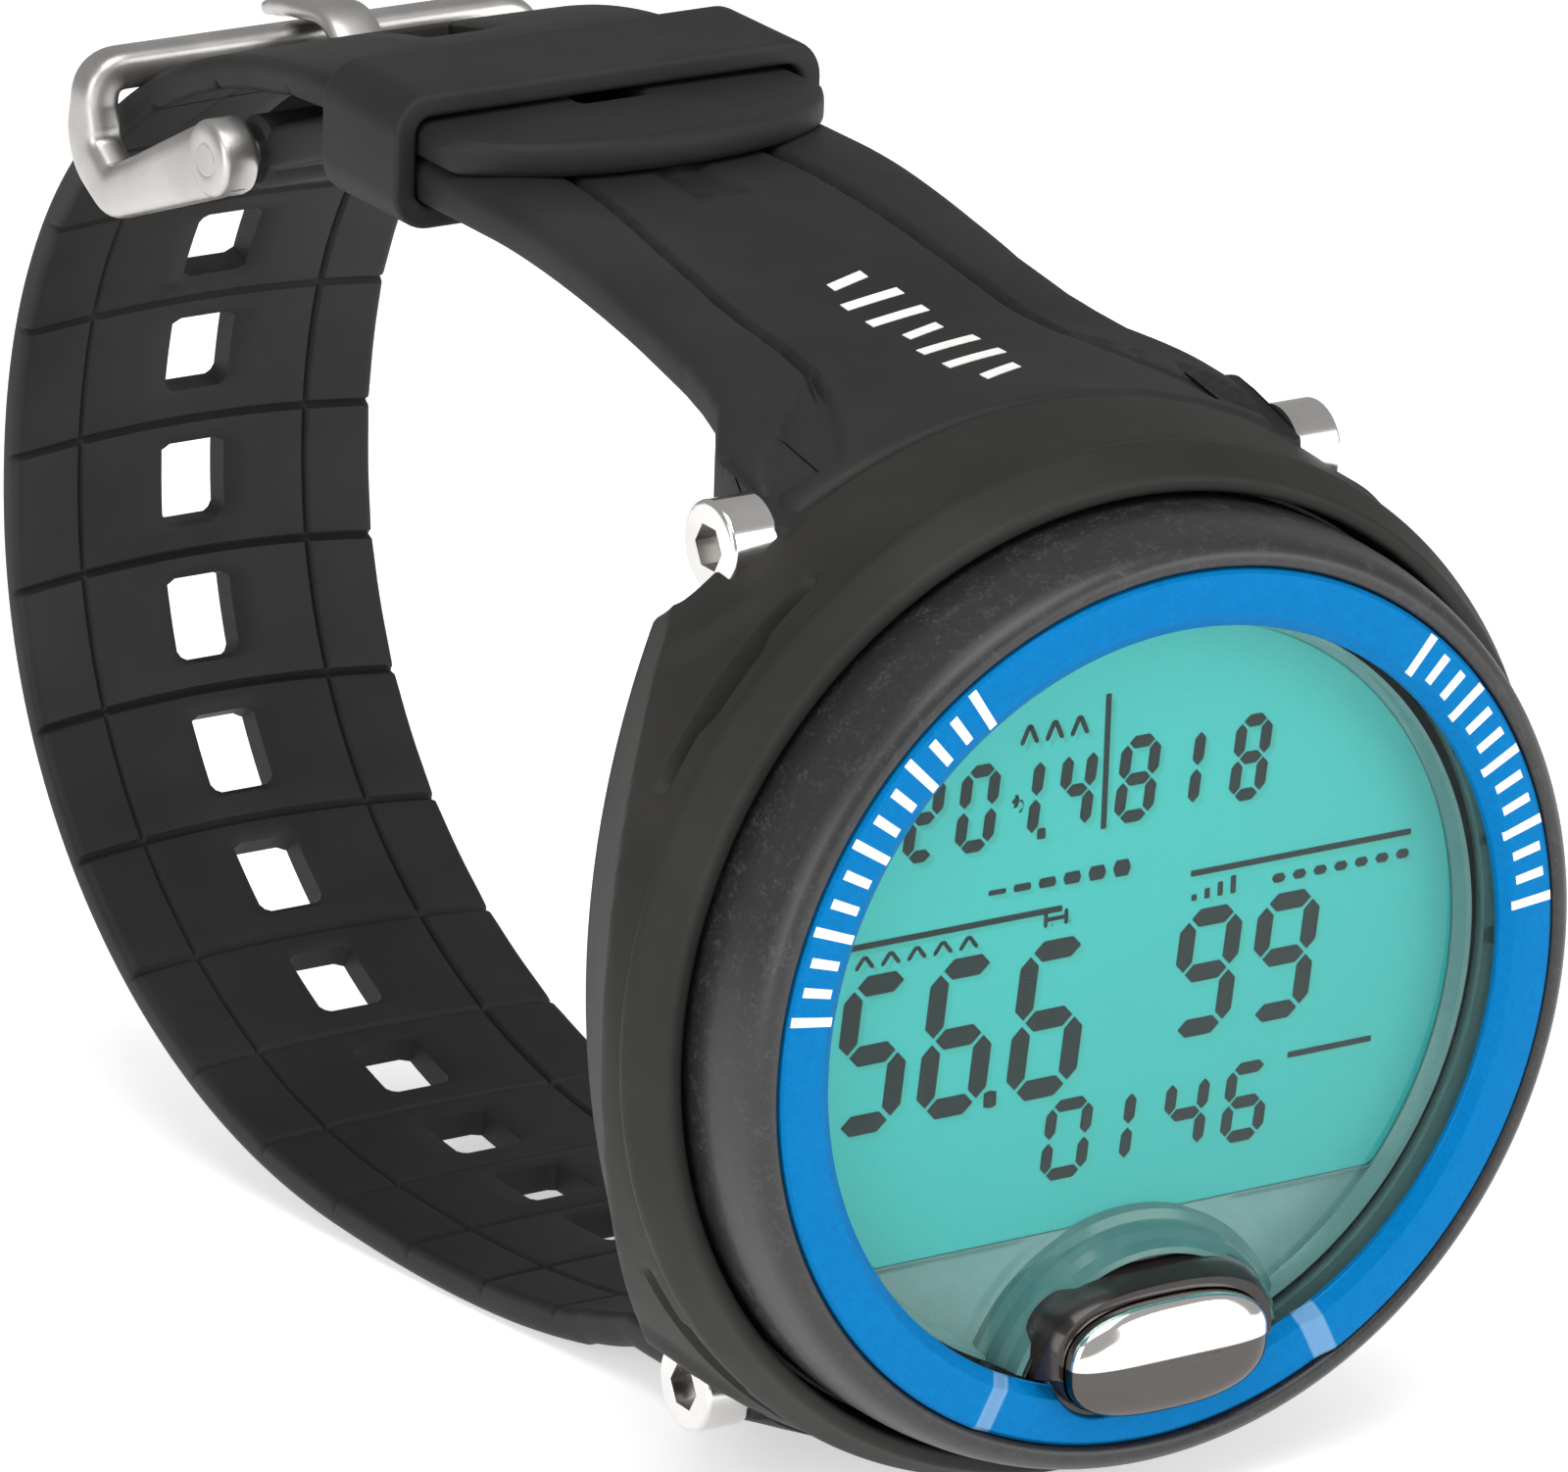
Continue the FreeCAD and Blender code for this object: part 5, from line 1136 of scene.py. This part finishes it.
def buckle_strap_relief(x, y, half):
    """What the buckle strap's top loses: two valleys that fade into sunken lens-shaped ends,
    and two shallow panes near the keeper, less the pillowed bands outside the valleys."""
    valley_x = np.interp(y, GROOVE_Y, GROOVE_X)
    from_valley = np.abs(x) - valley_x
    valley_on = smooth((y - 0.0) / 3.0) * smooth((39.5 - y) / 2.0)
    valley = groove(from_valley, 1.15, 0.52) * valley_on
    lens_on = smooth((y + 6.2) / 1.6) * smooth((5.5 - y) / 7.5)
    lens_width = 0.35 + 2.5 * smooth((5.0 - y) / 9.5)
    from_lens = np.abs(from_valley - 0.5 * lens_width)
    lens = 0.62 * lens_on * smooth((1 - from_lens / lens_width) / 0.32)
    side_band = smooth(from_valley / 0.7)
    width = np.maximum(half - valley_x, 1.0)
    pillow = 0.30 * side_band * (1 - (2 * from_valley / width - 1) ** 2) * smooth((y - 4) / 6)
    panes = [smooth((1.5 - np.abs(x)) / 0.15) * smooth((2.4 - np.abs(y - middle)) / 0.2)
             for middle in (30.5, 37.5)]
    return valley + lens - pillow + 0.5 * (panes[0] + panes[1])


def upper_strap():
    """The buckle strap: a crowned, waisted band that flares over the case's lug, bends down
    behind the keeper, and ends in two prongs round the pin."""
    y = np.unique(np.round(np.concatenate([
        np.linspace(STRAP_START_Y, -6.3, 6), np.linspace(-6.3, 12, 62), np.linspace(12, 51.4, 66),
        np.linspace(51.4, 61.0, 18), [57.45, 57.5]]), 3))
    bend_y, flat_mid = KEEPER_Y + KEEPER_W / 2 + 1.6, 33.8
    u = mirrored_columns(np.concatenate([[0, 1.1, 2.1, 2.2, 3.4, 4.5],
                                         np.linspace(5.2, 10.4, 27), [11.0, 11.6, 12.1, 12.5,
                                         12.8, 13.0, 13.15, 13.25, 13.3]]))[None]
    y = y[:, None]
    half = np.interp(y, END_Y, END_HALF)
    crown = np.interp(y, END_Y, END_CROWN)
    top = upper_top_z(y)
    slope = (PIN_Z - flat_mid) / (PIN_Y - bend_y)
    mid = np.where(y > bend_y, flat_mid + slope * (y - bend_y), top - STRAP_T_BUCKLE / 2)
    tilt = np.where(y > bend_y, math.atan(slope), 0.0) + 0 * u
    x = u * half / STRAP_HALF
    out_y, out_z = -np.sin(tilt), np.cos(tilt)
    base_y = y - out_y * STRAP_T_BUCKLE / 2
    base_z = mid - out_z * STRAP_T_BUCKLE / 2
    beside = half - np.abs(x)
    front_edge = edge_round(y - STRAP_START_Y, 0.7)
    lost_out = edge_round(beside, 1.0) + front_edge + buckle_strap_relief(x, y, half)
    thick_side = 4.6 * smooth((np.abs(u) / STRAP_HALF - 0.66) / 0.10) * smooth((3.0 - y) / 4.0)
    lost_in = edge_round(beside, 0.5) - thick_side
    outer, inner = strap_grids(base_y, base_z, out_y, out_z, crown, STRAP_T_BUCKLE, x,
                               lost_out, lost_in)
    mid_y = (y[1:, 0] + y[:-1, 0]) / 2
    mid_u = (u[0, 1:] + u[0, :-1]) / 2
    keep = ~((mid_y > 57.5)[:, None] & (np.abs(mid_u) < 2.1)[None])
    parts = [two_sided(outer, inner, keep)]
    for sign in (-1, 1):
        profile = [(0.92, 2.12), (BARREL_R - 0.3, 2.12), (BARREL_R, 2.4), (BARREL_R, 12.9),
                   (BARREL_R - 0.35, 13.28), (0.92, 13.28)]
        co, faces = spun_x(profile, PIN_Y, PIN_Z, sign)
        loop_faces = grid_faces(48, len(profile), wrap_rows=True, wrap_columns=True)
        parts.append((co, loop_faces))
        parts.append(cheek(roof(upper_top_z), sign, 1))
    co, faces = joined(parts)
    return piece("buckle_strap", co, [faces], RUBBER, "case", ["upper_strap"], 32)


MARK_R = 24.95


def strap_marks():
    """Plain leaning bars inlaid along the strap's middle: each is a small grid draped 0.035
    above the strap's crowned top."""
    parts = []
    for k in range(7):
        y0 = -2.4 + 2.75 * k
        v, u = np.meshgrid(np.linspace(0, 1, 5), np.linspace(-1, 1, 13), indexing="ij")
        length = 2.3 if k % 3 else 1.5
        x = 0.4 + u * length
        y = y0 + 0.9 * v + 0.55 * u
        crown = np.interp(y, END_Y, END_CROWN)
        z = upper_top_z(y) - (crown - np.sqrt(crown ** 2 - x ** 2)) + 0.035
        outer = np.stack([x, y, z], -1)
        parts.append(two_sided(outer, outer - np.array([0, 0, 0.2]), np.ones((4, 12), bool)))
    co, faces = joined(parts)
    return piece("strap_marks", co, [faces], STRAP_INK, "case", (), 30)


def ring_marks():
    """White index marks round the trim ring: short radial bars, every third one longer, over
    two arcs."""
    parts = []
    for low, high in ((124, 171), (6, 50)):
        for k, degrees in enumerate(np.linspace(low, high, 13)):
            reach = 0.95 if k % 3 else 1.35
            angle = math.radians(degrees)
            v, u = np.meshgrid([-1.0, 1.0], [-1.0, 1.0], indexing="ij")
            r = MARK_R + u * reach
            turn = angle + v * 0.28 / MARK_R
            outer = round_y(r, FRONT - 0.032 + 0 * r, turn)
            parts.append(two_sided(outer, outer + np.array([0, 0.1, 0]), np.ones((1, 1), bool)))
    co, faces = joined(parts)
    return piece("ring_marks", co, [faces], STRAP_INK, "case", (), 30)


# ---- keeper, buckle --------------------------------------------------------------------------
def keeper():
    """A loop of rubber: a rounded-rectangle path with a rounded-corner section."""
    angle = np.radians(np.concatenate([np.linspace(a, a + 90, 11) for a in (0, 90, 180, 270)]))
    nx, nz = np.cos(angle)[:, None], np.sin(angle)[:, None]
    corner_x = KEEPER_CORNER_X * np.repeat([1, -1, -1, 1], 11)[:, None]
    corner_z = KEEPER_Z + KEEPER_CORNER_Z * np.repeat([1, 1, -1, -1], 11)[:, None]
    w = KEEPER_W / 2
    section = rounded_outline([(1.0, -w), (1.0, w), (2.5, w), (2.5, -w)], 0.42, 5)
    off, y = section[None, :, 0], section[None, :, 1]
    points = np.stack([corner_x + off * nx, KEEPER_Y + y + 0 * nx, corner_z + off * nz], -1)
    faces = grid_faces(len(angle), len(section), wrap_rows=True, wrap_columns=True)
    return piece("keeper", points, [faces], RUBBER, "keeper", ["strap_keeper"], 40)


def rounded_path(corners, sizes, sides, scales, steps=10, straight=10):
    """A 3-D polyline with quadratic corners; side vectors and section scales run smoothly from
    one leg to the next over each corner."""
    corners, sides, scales = (np.asarray(a, float) for a in (corners, sides, scales))
    place, side, scale = [], [], []
    start = corners[0]
    for k in range(1, len(corners)):
        last = k == len(corners) - 1
        if last:
            end = corners[k]
        else:
            back = corners[k - 1] - corners[k]
            end = corners[k] + back / np.linalg.norm(back) * sizes[k]
        t = np.linspace(0, 1, straight, endpoint=last)[:, None]
        place.append(start + (end - start) * t)
        side.append(np.repeat(sides[k - 1][None], len(t), 0))
        scale.append(scales[k - 1] + (scales[k] - scales[k - 1]) * t)
        if last:
            break
        ahead = corners[k + 1] - corners[k]
        leave = corners[k] + ahead / np.linalg.norm(ahead) * sizes[k]
        t = np.linspace(0, 1, steps, endpoint=False)[:, None]
        place.append((1 - t) ** 2 * end + 2 * t * (1 - t) * corners[k] + t * t * leave)
        side.append(sides[k - 1] * (1 - t) + sides[k] * t)
        scale.append(np.repeat(scales[k][None], steps, 0))
        start = leave
    return np.concatenate(place), np.concatenate(side), np.concatenate(scale)


def buckle_frame():
    """One bent bar: from an eye on the pin, down to a knee, up round a heel and a corner to the
    crossbar, and back the same way. The section is a rounded square 2.6 by 3.5."""
    arm = 15.4
    half = [(arm, PIN_Y - 0.9, PIN_Z + 0.4), (arm, PIN_Y + 1.0, PIN_Z - 0.45),
            (arm, PIN_Y + 13.0, PIN_Z - 5.9), (arm, PIN_Y + 16.5, PIN_Z - 3.9),
            (arm, BAR_Y - 0.2, BAR_Z - 0.1)]
    corners = half + [(-x, y, z) for x, y, z in half[::-1]]
    sizes = [0, 0.8, 1.1, 1.6, 1.9, 1.9, 1.6, 1.1, 0.8, 0]
    rise = np.array([0, 0.05, 1.0])
    sides = [(1, 0, 0)] * 4 + [rise] + [(-1, 0, 0)] * 5
    arm_scale = [(1.0, 1.32), (1.0, 1.36), (1.0, 0.98), (1.0, 1.02), (1.0, 0.82)]
    path = rounded_path(corners, sizes, sides, arm_scale + arm_scale[::-1])
    section = oval(1.3, 1.75, 28, 3.2)
    co, faces = swept(path, section)
    ends = []
    for sign in (-1, 1):
        profile = [(0.0, 14.12), (2.1, 14.12), (2.35, 14.3), (2.45, 14.6), (2.45, 16.2),
                   (2.35, 16.5), (2.1, 16.68), (1.15, 16.7), (0.95, 16.62), (0.9, 16.5), (0, 16.5)]
        ends.append(spun_x(profile, PIN_Y, PIN_Z, sign))
    co, faces = joined([(co, faces)] + ends)
    return piece("buckle", co, [faces], BUCKLE, "buckle", ["buckle_frame"], 40)


def buckle_tongue():
    """A flat prong, 3.6 by 1.5, bent up from its eye on the pin, through the strap's hole and
    over the crossbar, its tip turned down and slightly narrowed."""
    lift = 2.15
    corners = [(0, PIN_Y, PIN_Z), (0, PIN_Y + 6.6, PIN_Z - 0.5), (0, PIN_Y + 11.8, PIN_Z + 4.0),
               (0, BAR_Y + 0.6, BAR_Z + lift), (0, BAR_Y + 3.4, BAR_Z + lift - 0.9)]
    scales = [(1.0, 1.0), (1.0, 1.0), (1.0, 1.0), (1.0, 1.0), (0.8, 0.75)]
    path = rounded_path(corners, [0, 1.2, 1.4, 1.0, 0], [(1, 0, 0)] * 4, scales)
    body = swept(path, oval(1.8, 0.75, 28, 3.0))
    eye = spun_x([(0.0, -1.8), (1.55, -1.8), (1.8, -1.65), (1.9, -1.4), (1.9, 1.4), (1.8, 1.65),
                  (1.55, 1.8), (0.0, 1.8)], PIN_Y, PIN_Z)
    co, faces = joined([body, eye])
    return piece("prong", co, [faces], BUCKLE, "tongue", ["buckle_tongue"], 40)


# ---- stage -----------------------------------------------------------------------------------
CAMERA_RIGHT = (0.84725, -0.53032, 0.0304)
CAMERA_UP = (0.15527, 0.30197, 0.94059)
CAMERA_FORWARD = (0.50799, 0.7922, -0.33819)
CAMERA_PLACE = (-0.3443, -0.5177, 0.2325)
FOCAL_LENGTH = 259.7
FLOOR_HALF = 1500.0


def light(name, place, size, energy, target):
    """A square soft light that faces a point; sizes in metres."""
    lamp = bpy.data.lights.new(name, "AREA")
    lamp.shape, lamp.size, lamp.energy = "SQUARE", size, energy
    made = bpy.data.objects.new(name, lamp)
    bpy.context.scene.collection.objects.link(made)
    made.location = place
    made.rotation_euler = (Vector(target) - Vector(place)).to_track_quat("-Z", "Y").to_euler()
    return made


def stage():
    """A pale floor that touches the strap's and the shroud's lowest places, soft lights, and
    the camera."""
    lower = np.array([v.co for v in NODES["lower_strap"].data.vertices]) * 1000.0
    shell = np.array([v.co for v in NODES["shroud_ring"].data.vertices]) * 1000.0
    rear = lower[lower[:, 1] > 30]
    slope = 0.0
    for _ in range(40):
        a = rear[np.argmin(rear[:, 2] - slope * rear[:, 1])]
        b = shell[np.argmin(shell[:, 2] - slope * shell[:, 1])]
        slope = (a[2] - b[2]) / (a[1] - b[1])
    level = a[2] - slope * a[1]
    corners = np.array([(x, y, level + slope * y - 0.02) for x, y in
                        ((-FLOOR_HALF, -FLOOR_HALF), (FLOOR_HALF, -FLOOR_HALF),
                         (FLOOR_HALF, FLOOR_HALF), (-FLOOR_HALF, FLOOR_HALF))])
    mesh = bpy.data.meshes.new("floor")
    mesh.from_pydata((corners * MM).tolist(), [], [(0, 1, 2, 3)])
    finish = Finish("floor_paper", (0.86, 0.86, 0.86), Specular_IOR_Level=0.2, Roughness=0.8,
                    Emission_Strength=0.55)
    finish.set("Base Color", finish.blend(finish.noise(6.0), (0.86, 0.86, 0.86), (0.9, 0.9, 0.9)))
    mesh.materials.append(finish.material)
    floor = bpy.data.objects.new("floor", mesh)
    bpy.context.scene.collection.objects.link(floor)

    world = bpy.data.worlds.new("studio")
    world.use_nodes = True
    world.node_tree.nodes["Background"].inputs["Color"].default_value = (1.0, 1.0, 1.0, 1.0)
    world.node_tree.nodes["Background"].inputs["Strength"].default_value = 0.40
    bpy.context.scene.world = world
    target = (0.0, 0.01, 0.0)
    light("key_over", (-0.10, -0.25, 0.75), 0.60, 4.4, target)
    light("fill_left", (-0.70, -0.25, 0.25), 0.50, 2.4, target)
    light("front_right", (0.45, -0.60, 0.25), 0.45, 2.4, target)

    lens = bpy.data.cameras.new("view")
    lens.lens, lens.sensor_width, lens.sensor_fit = FOCAL_LENGTH, 36.0, "HORIZONTAL"
    lens.clip_start, lens.clip_end = 0.05, 20.0
    camera = bpy.data.objects.new("view", lens)
    bpy.context.scene.collection.objects.link(camera)
    turn = camera.matrix_world.copy()
    for row in range(3):
        turn[row][:3] = CAMERA_RIGHT[row], CAMERA_UP[row], -CAMERA_FORWARD[row]
    turn.translation = CAMERA_PLACE
    camera.matrix_world = turn
    bpy.context.scene.camera = camera
    bpy.context.scene.view_settings.view_transform = "Standard"


for make in (shroud, bezel, trim, window, notch_wall, dish, display, figures, button, collar,
             notch_floor, lower_strap, upper_strap, strap_marks, ring_marks, keeper,
             buckle_frame, buckle_tongue, stage):
    make()

FINISHES = [(CASE_PLASTIC, "mid_case case_back battery_cover sensor_cover lcd_frame"),
            (SEAL, "case_back_gasket battery_cover_oring button_oring zebra_connector"),
            (WINDOW_GREY, "crystal_gasket"), (WHITE, "light_guide strap_bushes"),
            (SPRING, "button_spring button_clip"), (POLISHED, "battery_cell"),
            (SCREW, "strap_screws case_back_screws board_screws upper_hinge_tube"),
            (SCREW, "lower_hinge_tube quartz_crystal pressure_sensor wet_contacts"),
            (BUCKLE, "buckle_pin"), (BOARD, "circuit_board"),
            (CHIP, "processor_chip memory_chip dome_switch buzzer"),
            (BRASS, "battery_contact_base battery_contact_side")]
for finish, names in FINISHES:
    for name in names.split():
        for slot in NODES[name].material_slots:
            slot.material = finish
